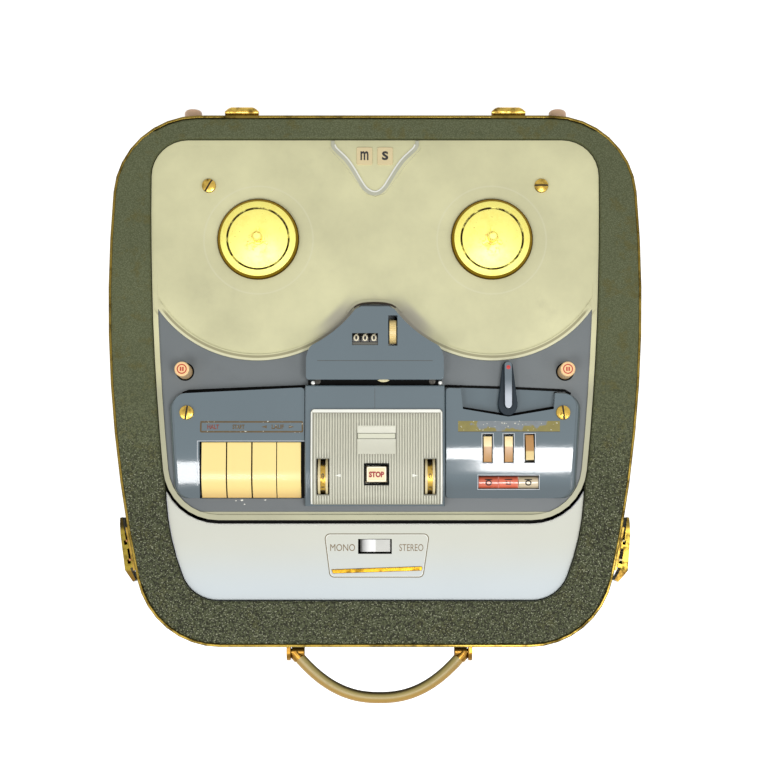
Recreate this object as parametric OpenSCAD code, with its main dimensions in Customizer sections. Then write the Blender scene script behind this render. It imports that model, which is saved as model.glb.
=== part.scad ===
// Portable reel-to-reel tape recorder, open, with its lift-off lid taken away.
// X runs to the right, Y to the back and Z up. It stands on its stud feet at Z = 0.
// Lengths along Y are reaches behind or in front of the deck's cross line.

/* [Case] */
// Half of the case's greatest width
case_half_w = 211.3; // [207:0.1:218]
// Reach of the case to the back
case_back = 214.4; // [211:0.1:220]
// Reach of the case to the front
case_front = 207; // [204:0.1:212]
// Reach to the back of the greatest width
case_wide = 78; // [65:1:90]
// Radius of the bowed sides
case_side_r = 1050; // [950:10:1300]
// Radius of the case's corners
case_corner_r = 67; // [62:1:72]
// Height of the rim above the floor
case_h = 162; // [156:1:175]
// Thickness of the wooden walls
wall_t = 9; // [8:0.5:11]
// Thickness of the base board
base_t = 8; // [6:0.5:10]
// Thickness of the top frame
frame_t = 12; // [10:0.5:16]
// Width of the brass edge trim
trim_w = 2.2; // [1.5:0.1:3]
// Height of the brass edge trim
trim_h = 6; // [4:0.5:8]
// How far the trim stands above the rim
trim_proud = 0.8; // [0.4:0.1:1.5]

/* [Feet and screws] */
// Radius of a stud foot
foot_r = 7.2; // [6:0.1:9]
// Height of a stud foot
foot_h = 14; // [10:0.5:18]
// Sideways place of the feet
foot_x = 150; // [135:1:160]
// Reach of the base feet to the front and to the back
foot_y = 140; // [120:1:150]
// Height of the lower back feet above the floor
back_foot_low = 40; // [30:1:50]
// Height of the upper back feet above the floor
back_foot_high = 126; // [115:1:135]
// Shank radius of the base board screws
base_screw_r = 1.8; // [1.4:0.1:2.2]
// Shank length of the base board screws
base_screw_len = 26; // [20:1:32]
// Sideways place of the base board screws at front and back
base_screw_x = 80; // [60:1:100]

/* [Lid hinges] */
// Sideways place of each hinge half
hinge_x = 107; // [95:1:118]
// Width of each hinge half
hinge_w = 27; // [20:1:32]
// Radius of the hinge pin hole
hinge_bore_r = 2; // [1.5:0.1:2.3]
// Radius of the hinge knuckle
hinge_r = 3.8; // [3.4:0.1:4.5]
// Height of the hinge leaf
hinge_leaf_h = 22; // [16:1:28]

/* [Latches] */
// Reach of the latches to the front
latch_y = 131; // [125:1:134]
// Length of the latch plate along the side
latch_len = 34; // [30:1:40]
// Height of the latch plate
latch_h = 30; // [26:1:34]
// Depth of the latch plate's pocket in the case side
latch_sink = 1; // [0.9:0.1:1.5]
// Thickness of the latch plate outside the pocket
latch_t = 1.6; // [1.2:0.1:2.2]
// Radius of the latch pin
latch_pin_r = 1.5; // [1.2:0.1:1.8]
// Half length of the latch lever along the side
latch_half_len = 25.5; // [23:0.5:27]
// Reach of the latch lever out of the side
latch_out = 10.4; // [10:0.1:12]
// Width of the latch lever's neck between the lugs
latch_neck_w = 18; // [14:0.5:20]

/* [Handle] */
// Height of the handle pivot above the floor
handle_z = 100; // [80:1:120]
// Sideways place of the handle's middle
handle_x = 3.4; // [0:0.1:6]
// Half of the span between the two ends of the grip
handle_half_w = 69; // [62:0.5:76]
// Distance of the handle pivot from the case front
handle_off = 7.5; // [7:0.1:10]
// Radius of the bow's middle
bow_r = 60; // [50:1:70]
// Slope of the straight stretches of the bow
bow_angle = 37; // [32:1:44]
// Radius of the grip
grip_r = 4.3; // [3.5:0.1:5]
// Radius of the handle pin
handle_pin_r = 2.5; // [2:0.1:3]
// Thickness of a handle bracket
bracket_t = 8; // [6:0.5:10]

/* [Deck] */
// Depth of the deck surface below the rim
deck_drop = 4; // [3:0.5:6]
// Thickness of the deck plate
deck_t = 5; // [4:0.5:6]
// Half of the deck's greatest width
deck_half_w = 179; // [175:0.5:182]
// Reach of the deck to the back
deck_back = 195; // [191:0.5:198]
// Reach of the deck to the front
deck_front = 108.8; // [106:0.2:110]
// Reach to the back of the deck's greatest width
deck_wide = 165; // [150:1:170]
// Radius of the deck's bowed sides
deck_side_r = 2200; // [1900:50:2600]
// Radius of the deck's back corners
deck_back_r = 29; // [22:1:34]
// Radius of the deck's front corners
deck_front_r = 44; // [38:1:50]
// Width of the raised lip round the deck
lip_w = 4.2; // [3:0.2:5]
// Height of the raised lip and beads
lip_h = 1.5; // [1:0.1:2]
// Gap between the deck and the frame round it
deck_gap = 0.6; // [0.3:0.1:0.9]
// Radius of the deck screws' heads
deck_screw_r = 5.6; // [4.5:0.1:6]
// Shank radius of the deck screws
deck_shank_r = 2; // [1.6:0.1:2.4]
// Distance of the back deck screws from the deck's greatest width
deck_screw_in = 46; // [41:1:51]
// Reach of the back deck screws to the back
deck_screw_y = 157.8; // [152:0.2:162]

/* [Front panel] */
// Half of the front panel's greatest width
panel_half_w = 164.5; // [161:0.5:168]
// Reach of the front panel to the front
panel_front = 171; // [167:0.5:175]
// Reach to the front of the panel's greatest width
panel_wide = 78; // [70:1:85]
// Radius of the panel's bowed sides
panel_side_r = 200; // [180:5:230]
// Radius of the panel's front corners
panel_front_r = 30; // [25:1:36]
// Gap between the deck's front and the panel
panel_gap = 2.6; // [1.5:0.1:3.5]
// Thickness of the panel
panel_t = 5; // [4:0.5:6]
// Depth of the panel below the deck surface
panel_drop = 1; // [0.5:0.1:2]
// Reach of the stereo rocker to the front
stereo_y = 129.3; // [127:0.1:132]
// Length of the stereo rocker
stereo_len = 23.4; // [20:0.2:26]
// Width of the stereo rocker
stereo_w = 8.6; // [7:0.2:10]
// Side tilt of the stereo rocker
stereo_tilt = 7; // [5:0.5:9]

/* [Reel drive] */
// Half of the distance between the two spindles
spindle_x = 93; // [91:0.5:95]
// Reach of the spindles to the back
spindle_y = 114; // [111:0.5:117]
// Radius of a spindle
spindle_r = 3.95; // [3.8:0.05:4]
// Height of the spindle tip above the deck
spindle_h = 18; // [14:0.5:24]
// Radius of a turntable
turntable_r = 32.6; // [30:0.2:36]
// Height of the turntable's seat above the deck
turntable_h = 6; // [5:0.2:8]
// Radius of the turntable shaft
shaft_r = 3; // [2.4:0.2:3.4]
// Wall of the bearing bushes
bush_wall = 4; // [3:0.5:5]
// Outer radius of the bead between the reel wells and the controls
bead_r = 97; // [96:0.2:98]
// Width of that bead
bead_w = 5; // [4:0.2:6]
// Reach of the control plate to the back
control_back = 62; // [60:0.5:66]

/* [Blocks] */
// Gap between neighbouring housings
block_gap = 0.5; // [0.3:0.1:0.8]
// Distance of the blocks' outer back corner from the deck's greatest width
block_in_back = 20.7; // [18:0.1:24]
// Distance of the blocks' outer front corner from the deck's greatest width
block_in_front = 26.5; // [24:0.1:30]
// Reach to the front of the blocks' inner back corner
block_back_in = 5.5; // [4:0.2:7]
// Reach to the front of the blocks' outer back corner
block_back_out = 10.5; // [9:0.2:12]
// Reach of the blocks to the front
block_front = 91.8; // [90:0.2:94]
// Radius of the blocks' outer corners
block_corner_r = 10; // [7:0.5:12]
// Height of the blocks at the back, above the deck
block_h = 13; // [12:0.2:15]
// Height of the blocks at the front, above the deck
block_front_h = 5; // [4:0.2:6]
// Reach to the front where the blocks begin to roll down
block_roll = 46; // [42:0.5:48]
// Wall of the moulded housings
block_wall = 2.5; // [2:0.1:3]
// Distance of the front deck screws from the blocks' outer back corner
block_screw_in = 11.3; // [9.3:0.1:14.3]
// Reach of the front deck screws to the front
block_screw_y = 25.3; // [23:0.2:28]

/* [Keys] */
// Distance of the key window from the blocks' outer back corner
key_in = 21.5; // [20.3:0.1:24.3]
// Reach to the front of the key window's back edge
key_back = 48; // [46.5:0.2:50]
// Gap beside each key
key_gap = 0.5; // [0.3:0.1:0.8]
// Height of the keys above the deck
key_h = 11.6; // [10.5:0.1:12]
// Reach to the front where the keys begin to roll down
key_roll = 70; // [66:0.5:74]
// Depth of the keys below the deck
key_depth = 3; // [2:0.2:4]
// Radius of the key axle
key_axle_r = 2; // [1.6:0.1:2.4]
// Reach of the key axle to the front
key_axle_y = 42; // [41:0.2:43]
// Height of the key axle above the deck
key_axle_h = 3.5; // [3:0.1:4]

/* [Selectors] */
// How far the lever and the middle rocker stand inside the block's middle
lever_off = 2.4; // [1:0.1:4]
// Reach of the lever's pivot to the front
lever_y = 18.6; // [18:0.1:19.2]
// Radius of the lever's round base
lever_r = 8.8; // [8:0.1:9.2]
// Radius of the lever's tip
lever_tip_r = 3.2; // [2.5:0.1:4]
// Length of the lever from its pivot to its tip
lever_len = 34; // [30:0.2:35]
// Height of the lever's body above the deck
lever_h = 10; // [9:0.2:12]
// Height of the lever's ridge above its body
lever_ridge_h = 5; // [3:0.2:6]
// Distance between the lever's notch and the block's end at the back
notch_in = 13.6; // [11.6:0.1:17.6]
// Radius of the lever's pin
lever_pin_r = 3; // [2.5:0.1:3.5]
// Distance between neighbouring rockers
rocker_pitch = 16.4; // [15:0.1:18]
// Width of a rocker
rocker_w = 7.2; // [6:0.1:8]
// Length of a rocker
rocker_len = 19.6; // [18:0.2:20.4]
// Reach of the rocker axle to the front
rocker_y = 53.2; // [52:0.2:54]
// Height of the rocker axle above the deck
rocker_z = 5.5; // [5:0.1:6]
// Height of a rocker above its axle
rocker_h = 8.8; // [8:0.1:9.6]
// Tilt of a rocker to either side
rocker_tilt = 9; // [7:0.5:10]
// Radius of the rocker axle
rocker_axle_r = 1.5; // [1.2:0.1:1.8]
// Length of the indicator strip
strip_len = 46.6; // [42:0.2:48]
// Radius of the indicator strip's round face
strip_r = 4.9; // [4.2:0.1:5.2]
// Reach of the indicator strip to the front
strip_y = 79.4; // [78:0.1:80]

/* [Centre block] */
// Half width of the centre block
centre_half_w = 54.6; // [53:0.1:56]
// Reach to the front of the centre block's back edge
centre_back = 4; // [3.6:0.1:4.6]
// Reach of the centre block to the front
centre_front = 98; // [96:0.2:100]
// Height of the centre block above the deck
centre_h = 17; // [16:0.2:18]
// Height of the centre block's front above the deck
centre_front_h = 9; // [8:0.2:10]
// Reach to the front where the centre block begins to roll down
centre_roll = 62; // [58:0.5:66]
// Half width of the ribbed cover
cover_half_w = 51.3; // [50:0.1:52]
// Reach to the front of the ribbed cover's back edge
cover_back = 23.1; // [22:0.1:25]
// Reach of the ribbed cover to the front
cover_front = 96.9; // [95.5:0.1:97.4]
// Thickness of the ribbed cover
cover_t = 2.2; // [1.8:0.1:2.6]
// Width of the seat under the ribbed cover's edge
cover_seat = 3; // [2:0.2:3.6]
// Half width of the tuning-eye window
eye_half_w = 15; // [13:0.2:17]
// Reach of the tuning-eye bar to the front
eye_y = 43.9; // [42.5:0.1:45]
// Width of the tuning-eye bar
eye_bar_w = 3.8; // [3:0.1:4.5]
// Radius of the tuning-eye tube
eye_r = 9; // [8:0.2:10]
// Length of the stop button across the deck
stop_len = 16.4; // [14:0.2:18]
// Width of the stop button along the deck
stop_w = 12.7; // [11:0.1:14]
// Reach of the stop button to the front
stop_y = 73.6; // [72:0.1:75]
// Gap round the stop button
stop_gap = 1; // [0.5:0.1:1.5]
// Height of the stop button above the ribbed cover
stop_proud = 0.8; // [0.4:0.1:1.5]
// Sideways place of the thumbwheels
thumb_x = 41.6; // [40:0.1:42]
// Reach of the thumbwheels to the front
thumb_y = 75; // [74:0.1:76]
// Radius of the thumbwheels
thumb_r = 17.6; // [17:0.1:18]
// Width of the thumbwheels
thumb_w = 8; // [6:0.1:8.6]
// Height of the thumbwheel axis above the deck
thumb_z = 1.2; // [0.8:0.1:1.6]
// Length of the thumbwheel slots
thumb_slot = 27.5; // [27:0.1:28.5]
// Width of the thumbwheel slots
thumb_slot_w = 10; // [9.6:0.1:11]
// Radius of the potentiometer shafts
pot_shaft_r = 3; // [2.5:0.1:3.5]

/* [Head cover] */
// Half width of the head cover
head_half_w = 53.7; // [52:0.1:54.4]
// Reach of the head cover to the back
head_back = 57.5; // [56:0.1:59]
// Gap between the head cover's hollow flanks and the beads
flank_gap = 0.3; // [0.2:0.1:0.6]
// Height of the head cover above the deck
head_h = 20; // [19:0.2:22]
// Height of the tape opening above the deck
tape_h = 15; // [13:0.2:16]
// Half width of the tape opening
tape_half_w = 49; // [46:0.2:50]
// Sideways place of the middle digit wheel
digit_x = -7.7; // [-9:0.1:-6]
// Reach of the digit wheels to the back
digit_y = 31.7; // [31:0.1:33]
// Distance between neighbouring digit wheels
digit_pitch = 6.9; // [6.5:0.1:7.2]
// Width of a digit wheel
digit_w = 6.2; // [5.6:0.1:6.4]
// Radius of the digit wheels
digit_r = 7.2; // [6.6:0.1:7.4]
// Height of the digit wheels' axis above the deck
digit_z = 10; // [9.6:0.1:10.4]
// Length of the counter window along the deck
digit_window = 9.4; // [8:0.1:11]
// Sideways place of the reset wheel
reset_x = 14; // [13:0.1:14.6]
// Reach of the reset wheel to the back
reset_y = 38.4; // [37.5:0.1:39]
// Radius of the reset wheel
reset_r = 9.5; // [9:0.1:9.8]
// Width of the reset wheel
reset_w = 5.2; // [4.5:0.1:5.6]
// Height of the reset wheel's axis above the deck
reset_z = 11.8; // [11.4:0.1:12.2]
// Length of the reset wheel's slot
reset_slot = 23.8; // [22:0.1:25]
// Radius of the counter axles
counter_axle_r = 1.2; // [1:0.1:1.5]

/* [Round buttons] */
// Distance of the round buttons from the deck's greatest width
button_in = 28.7; // [27:0.1:31]
// Reach of the round buttons to the back
button_y = 8.2; // [6:0.1:10]
// Radius of the round buttons
button_r = 5.5; // [5:0.1:6]
// Height of the round buttons above the deck
button_h = 17; // [14:0.2:20]
// Gap round the round buttons
button_gap = 0.4; // [0.3:0.05:0.6]

/* [Tape drive] */
// Depth of the chassis below the deck surface
chassis_drop = 34; // [32:0.5:38]
// Thickness of the chassis plate
chassis_t = 3; // [2:0.2:4]
// Half width of the chassis plate
chassis_half_w = 164; // [162:1:168]
// Radius of the posts under the chassis
leg_r = 6; // [5:0.2:7]
// Radius of the posts under the deck
post_r = 5; // [4:0.2:6]
// Sideways place of the capstan
capstan_x = 6; // [4:0.2:8]
// Reach of the capstan to the back
capstan_y = 2.2; // [2:0.1:2.6]
// Radius of the capstan
capstan_r = 2.5; // [2:0.1:2.8]
// Radius of the flywheel
flywheel_r = 45; // [40:0.5:50]
// Thickness of the flywheel
flywheel_t = 12; // [10:0.5:14]
// Sideways place of the motor
motor_x = -95; // [-100:1:-90]
// Reach of the motor to the back
motor_y = 25; // [20:1:30]
// Radius of the motor
motor_r = 34; // [30:0.5:38]
// Height of the motor's body
motor_h = 58; // [50:1:62]
// Radius of the motor pulley
pulley_r = 8; // [6:0.2:10]
// Thickness of the drive belt
belt_t = 2; // [1.5:0.1:2.5]
// Height of the drive belt
belt_w = 5; // [4:0.2:7]
// Radius of the pinch roller
roller_r = 8; // [7.4:0.1:8.2]
// Reach of the pinch roller to the front
roller_y = 11; // [10.8:0.1:11.4]
// Distance of the pinch arm's pivot from the roller
pinch_len = 26; // [24:0.2:28]
// Radius of the pinch arm's pivot pin
pinch_pin_r = 3; // [2.5:0.1:3.5]

/* [Sound and power] */
// Width, depth and height of the transformer
transformer_size = [80, 66, 70];
// Width and depth of the amplifier board
amplifier_size = [150, 96];
// Radius of a valve
valve_r = 10; // [8:0.5:11]
// Height of a valve
valve_h = 45; // [35:1:55]
// Radius of the loudspeaker
speaker_r = 62; // [55:1:65]
// Height of the loudspeaker
speaker_h = 52; // [45:1:58]
// Width of the socket panel's opening
socket_w = 150; // [130:1:170]
// Height of the socket panel's opening
socket_h = 40; // [34:1:46]
// Height of the socket panel's middle above the floor
socket_z = 60; // [54:1:66]
// Radius of a sound socket
din_r = 7.5; // [7:0.1:8]
// Depth of a sound socket
din_depth = 7; // [6:0.2:8]

/* [Clearances] */
// Running clearance of a pin in its hole
run = 0.05; // [0.03:0.01:0.08]
// Clearance of a fixed piece in its seat
seat = 0.1; // [0.05:0.05:0.2]
// Clearance between moving pieces side by side
clear = 0.4; // [0.3:0.05:0.6]

/* [Hidden] */
$fn = 64;
// Overshoot of a cut past the faces that it opens
cut = 1;
// Points along a rounded corner
corner_steps = 8;
// Halt, start, rewind and forward
key_count = 4;

// Levels above the floor
base_z = foot_h;
wall_z = base_z + base_t;
frame_z = case_h - frame_t;
trim_z = case_h - trim_h;
deck_z = case_h - deck_drop;
deck_under = deck_z - deck_t;
control_drop = 0.5;
control_z = deck_z - control_drop;
chassis_z = deck_z - chassis_drop;
chassis_under = chassis_z - chassis_t;
top_z = case_h + head_h + spindle_h;

// Handle and the middle of the whole recorder
handle_y = -case_front - handle_off;
bow_end_x = bow_r * sin(bow_angle);
bow_rise = (handle_half_w - bow_end_x) * tan(bow_angle);
bow_y = handle_y + bow_r * cos(bow_angle) - bow_rise;
handle_reach = bow_r - bow_y + grip_r;
middle_y = round(500 * (case_back + foot_h - handle_reach)) / 1000;

// Housings
block_inner = centre_half_w + block_gap;
block_side_back = deck_half_w - block_in_back;
block_side_front = deck_half_w - block_in_front;
block_screw_x = block_side_back - block_screw_in;
lever_x = (block_inner + block_side_back) / 2 - lever_off;
notch_half_w = (block_side_back - block_inner) / 2 - notch_in;
lever_pin_h = 7;
deck_screw_x = deck_half_w - deck_screw_in;
button_x = deck_half_w - button_in;
flank_r = bead_r + flank_gap;
key_inner = block_inner + block_wall;
key_outer = block_side_back - key_in;
key_pitch = (key_outer - key_inner) / key_count;
rocker_slot = rocker_len + 4;
cover_inner = cover_half_w - cover_seat;
eye_z = deck_z + centre_h - eye_r - 3;
flywheel_top = chassis_under - 5;
belt_z = flywheel_top - flywheel_t / 2 - belt_w / 2;
pinch_x = capstan_x - pinch_len;

// Point on a circle
function polar(r, a) = r * [cos(a), sin(a)];

// Points of an arc from one angle to another
function arc(centre, r, a0, a1, steps = corner_steps) =
  [for (i = [0:steps]) centre + polar(r, a0 + (a1 - a0) * i / steps)];

// A right half, joined to its mirror image as one closed outline
function both_halves(half) =
  concat(half, [for (i = [len(half) - 1:-1:0]) [-half[i][0], half[i][1]]]);

// Outline with bowed sides: size = [half width, back, front, place of the greatest width],
// radii = [sides, back corners, front corners]; inset moves it in all round
function bowed(size, radii, inset) =
  let(
    side = radii[0] - inset,
    middle = [size[0] - radii[0], size[3]],
    back_r = radii[1] - inset,
    front_r = radii[2] - inset,
    back_cy = size[1] - radii[1],
    front_cy = radii[2] - size[2],
    back_cx = middle[0] + sqrt(pow(side - back_r, 2) - pow(back_cy - middle[1], 2)),
    front_cx = middle[0] + sqrt(pow(side - front_r, 2) - pow(front_cy - middle[1], 2)),
    back_a = atan2(back_cy - middle[1], back_cx - middle[0]),
    front_a = atan2(front_cy - middle[1], front_cx - middle[0]),
    side_points = arc(middle, side, back_a, front_a)
  )
  both_halves(concat(
    arc([back_cx, back_cy], back_r, 90, back_a),
    [for (i = [1:len(side_points) - 2]) side_points[i]],
    arc([front_cx, front_cy], front_r, front_a, -90)
  ));

function case_outline(inset) =
  bowed([case_half_w, case_back, case_front, case_wide], [case_side_r, case_corner_r, case_corner_r], inset);

function deck_outline(inset) =
  bowed([deck_half_w, deck_back, deck_front, deck_wide], [deck_side_r, deck_back_r, deck_front_r], inset);

// The panel's own back lies under the deck, whose outline cuts it away
function panel_outline(inset) =
  bowed(
    [panel_half_w, panel_front_r - panel_wide / 2, panel_front, -panel_wide],
    [panel_side_r, panel_front_r, panel_front_r],
    inset
  );

// Points of one rounded corner between two straight edges
function round_corner(before, at, after, r) =
  let(
    u = (before - at) / norm(before - at),
    v = (after - at) / norm(after - at),
    half = acos(u * v) / 2,
    middle = at + (u + v) / norm(u + v) * r / sin(half),
    first = at + u * r / tan(half) - middle,
    last = at + v * r / tan(half) - middle,
    a0 = atan2(first[1], first[0]),
    turn = (atan2(last[1], last[0]) - a0 + 540) % 360 - 180
  )
  arc(middle, r, a0, a0 + turn);

// Closed outline through corners given as [x, y, radius]
function rounded(corners) =
  let(n = len(corners), flat = [for (c = corners) [c[0], c[1]]])
  [for (i = [0:n - 1])
    each round_corner(flat[(i + n - 1) % n], flat[i], flat[(i + 1) % n], corners[i][2])];

// Outline of a band drawn tight round two circles, one at 0 and one up the Y axis
function two_round(r1, r2, distance) =
  let(lean = asin((r1 - r2) / distance))
  concat(
    arc([0, distance], r2, lean, 180 - lean, 2 * corner_steps),
    arc([0, 0], r1, 180 - lean, 360 + lean, 3 * corner_steps)
  );

// Side view of a housing that is level at the back and rolls down to the front
function roll_curve(start, end, high, low) =
  let(
    run_y = end - start,
    fall = high - low,
    r = (run_y * run_y + fall * fall) / (2 * fall),
    sweep = asin(run_y / r)
  )
  [for (i = [0:corner_steps])
    [-start - r * sin(sweep * i / corner_steps), high - r * (1 - cos(sweep * i / corner_steps))]];

// Half width of the case's bowed side at a given place, and the way it faces
function side_x(y) = case_half_w - case_side_r + sqrt(pow(case_side_r, 2) - pow(y - case_wide, 2));
function side_angle(y) = asin((y - case_wide) / case_side_r);

module slab(points, low, high) {
  translate([0, 0, low]) linear_extrude(high - low) polygon(points);
}

// A side view in Y and Z, drawn out along X
module along_x(low, high) {
  translate([low, 0, 0]) rotate([90, 0, 90]) linear_extrude(high - low) children();
}

// A rod along X
module rod_x(r, low, high, y, z) {
  translate([low, y, z]) rotate([0, 90, 0]) cylinder(r = r, h = high - low);
}

module box(low, high) {
  translate(low) cube(high - low);
}

// Children on the right and, mirrored, on the left
module both_sides() {
  for (side = [0, 1]) mirror([side, 0, 0]) children();
}

module on_left() {
  mirror([1, 0, 0]) children();
}

// Case: plywood walls and frame under leatherette, with a brass edge trim

module base_screw_places() {
  both_sides() {
    translate([base_screw_x, case_back - wall_t / 2, 0]) children();
    translate([base_screw_x, -case_front + wall_t / 2, 0]) children();
    translate([case_half_w - wall_t / 2, case_wide, 0]) children();
  }
}

module base_screw_holes() {
  base_screw_places()
    translate([0, 0, base_z - cut])
      cylinder(r = base_screw_r + seat, h = base_screw_len + 2 * cut);
}

// Local frame of the right latch: X out of the side, Y along it, Z up from the rim
module at_latch() {
  translate([side_x(-latch_y), -latch_y, case_h]) rotate([0, 0, side_angle(-latch_y)]) children();
}

latch_low = -latch_h - 2;
latch_high = -2;

module latch_pockets() {
  both_sides()
    at_latch()
      box([-latch_sink, -latch_len / 2, latch_low], [latch_sink + cut, latch_len / 2, latch_high]);
}

module socket_opening() {
  box(
    [-socket_w / 2, case_back - wall_t - cut, socket_z - socket_h / 2],
    [socket_w / 2, case_back + cut, socket_z + socket_h / 2]
  );
}

module case_walls() {
  color("#69705a") difference() {
    slab(case_outline(0), wall_z, frame_z);
    slab(case_outline(wall_t), wall_z - cut, frame_z + cut);
    base_screw_holes();
    latch_pockets();
    socket_opening();
    back_foot_places() cylinder(r = foot_r + seat, h = foot_sink + cut);
  }
}

module top_frame() {
  color("#5e6250") difference() {
    union() {
      slab(case_outline(0), frame_z, trim_z);
      slab(case_outline(trim_w), trim_z, case_h);
    }
    slab(deck_outline(-deck_gap), frame_z - cut, case_h + cut);
    slab(panel_outline(-deck_gap), frame_z - cut, case_h + cut);
    latch_pockets();
  }
}

module edge_trim() {
  color("#b8962e") difference() {
    slab(case_outline(0), trim_z, case_h + trim_proud);
    slab(case_outline(trim_w), trim_z - cut, case_h + trim_proud + cut);
    latch_pockets();
    both_sides()
      box(
        [hinge_x - hinge_w / 2, case_back - 2 * trim_w, case_h],
        [hinge_x + hinge_w / 2, case_back + cut, case_h + trim_proud + cut]
      );
  }
}

speaker_x = -75;
speaker_y = -95;
speaker_slots = 7;
speaker_slot_w = 5;

module base_board() {
  slot_pitch = 2 * speaker_slot_w + 2;
  color("#6b5a40") difference() {
    slab(case_outline(0), base_z, wall_z);
    base_screw_holes();
    for (i = [0:speaker_slots - 1])
      translate([speaker_x, speaker_y + (i - (speaker_slots - 1) / 2) * slot_pitch, base_z - cut])
        translate([-speaker_r / 2, -speaker_slot_w / 2, 0])
          cube([speaker_r, speaker_slot_w, base_t + 2 * cut]);
  }
}

// Depth that a back foot is let into the back wall
foot_sink = 2;

module back_foot_places() {
  both_sides()
    for (z = [back_foot_low, back_foot_high])
      translate([foot_x, case_back - foot_sink, z]) rotate([-90, 0, 0]) children();
}

// One stud foot, with its flat tip at the far end of Z
module stud(height) {
  tip_r = foot_r * 0.55;
  round_r = foot_r - tip_r;
  rotate_extrude()
    polygon(concat(
      [[0, 0], [foot_r, 0]],
      arc([tip_r, height - round_r], round_r, 0, 90),
      [[0, height]]
    ));
}

module feet() {
  color("#ba9f70") {
    both_sides()
      for (y = [-foot_y, foot_y]) translate([foot_x, y, foot_h]) mirror([0, 0, 1]) stud(foot_h);
    back_foot_places() stud(foot_h + foot_sink);
  }
}

module base_screws() {
  head_r = 2 * base_screw_r;
  head_h = base_screw_r;
  color("#c9c4b4") base_screw_places() {
    translate([0, 0, base_z]) cylinder(r = base_screw_r, h = base_screw_len);
    translate([0, 0, base_z - head_h]) cylinder(r = head_r, h = head_h);
  }
}

module lid_hinges() {
  leaf_t = 1.6;
  pin_y = case_back + hinge_r + seat;
  pin_z = case_h - hinge_r;
  low_x = hinge_x - hinge_w / 2;
  high_x = hinge_x + hinge_w / 2;
  color("#c9a227") both_sides() difference() {
    union() {
      box([low_x, case_back, pin_z - hinge_leaf_h], [high_x, case_back + leaf_t, pin_z]);
      rod_x(hinge_r, low_x, high_x, pin_y, pin_z);
    }
    rod_x(hinge_bore_r, low_x - cut, high_x + cut, pin_y, pin_z);
  }
}

// Side latches: a brass plate with two lugs and a pin, and the lever that hooks the lid

latch_pin_x = latch_t + 4;
latch_pin_z = latch_low + 6;
latch_knuckle_r = latch_pin_r + 1.6;
latch_lug_t = 4;
latch_tab_t = 4;

module latch_rod(r, half_len) {
  translate([latch_pin_x, -half_len, latch_pin_z]) rotate([-90, 0, 0]) cylinder(r = r, h = 2 * half_len);
}

module latch_plates() {
  lug_in = latch_neck_w / 2 + clear;
  color("#c9a227") both_sides() at_latch() {
    box([-latch_sink, -latch_len / 2, latch_low], [latch_t, latch_len / 2, latch_high]);
    for (end = [0, 1]) mirror([0, end, 0])
      box(
        [latch_t, lug_in, latch_pin_z - latch_knuckle_r],
        [latch_pin_x + latch_knuckle_r, lug_in + latch_lug_t, latch_pin_z + latch_knuckle_r]
      );
    latch_rod(latch_pin_r, lug_in + cut);
  }
}

// Bowed lever seen from above, its tail drawn in at the front
module latch_lever() {
  blade_low = latch_pin_z + latch_knuckle_r + 3;
  inner = latch_pin_x - 1;
  tabs = [3.3, -11.7];
  tab_w = 5.5;
  at_latch() difference() {
    union() {
      latch_rod(latch_knuckle_r, latch_neck_w / 2);
      box([inner, -latch_neck_w / 2, latch_pin_z], [latch_pin_x + 2, latch_neck_w / 2, blade_low + cut]);
      slab(
        [
          [inner, latch_half_len],
          [latch_out - 2, latch_half_len],
          [latch_out - 0.6, latch_half_len - 4.5],
          [latch_out, latch_half_len - 13],
          [latch_out, -latch_half_len + 10],
          [inner, -latch_half_len],
          [latch_t, -latch_half_len + 1],
          [inner, -latch_half_len + 10]
        ],
        blade_low,
        latch_high
      );
      for (y = tabs)
        box(
          [latch_t + clear, y - tab_w / 2, latch_high - latch_tab_t],
          [inner + cut, y + tab_w / 2, latch_high]
        );
    }
    latch_rod(latch_pin_r + run, latch_neck_w / 2 + cut);
  }
}

module left_latch() {
  color("#b8962e") on_left() latch_lever();
}

module right_latch() {
  color("#b8962e") latch_lever();
}

// Carrying handle: a moulded bow on two pins in brass brackets

bracket_low_x = handle_half_w + 6;
handle_hub_r = grip_r + 0.9;

module handle_brackets() {
  bracket_r = handle_hub_r + 2;
  color("#c9a227") translate([handle_x, 0, 0]) both_sides() difference() {
    union() {
      rod_x(bracket_r, bracket_low_x, bracket_low_x + bracket_t, handle_y, handle_z);
      box(
        [bracket_low_x, handle_y, handle_z - bracket_r],
        [bracket_low_x + bracket_t, -case_front, handle_z + bracket_r]
      );
    }
    rod_x(handle_pin_r + run, bracket_low_x - cut, bracket_low_x + bracket_t + cut, handle_y, handle_z);
  }
}

// Middle line of the right half of the bow, from the middle to the end
bow_half = concat(
  [for (i = [0:corner_steps]) [0, bow_y] + polar(bow_r, -90 + bow_angle * i / corner_steps)],
  [[handle_half_w, handle_y]]
);
bow_line = concat(
  [for (i = [len(bow_half) - 1:-1:1]) [-bow_half[i][0], bow_half[i][1]]],
  bow_half
);
grip_sides = 12;

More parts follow.
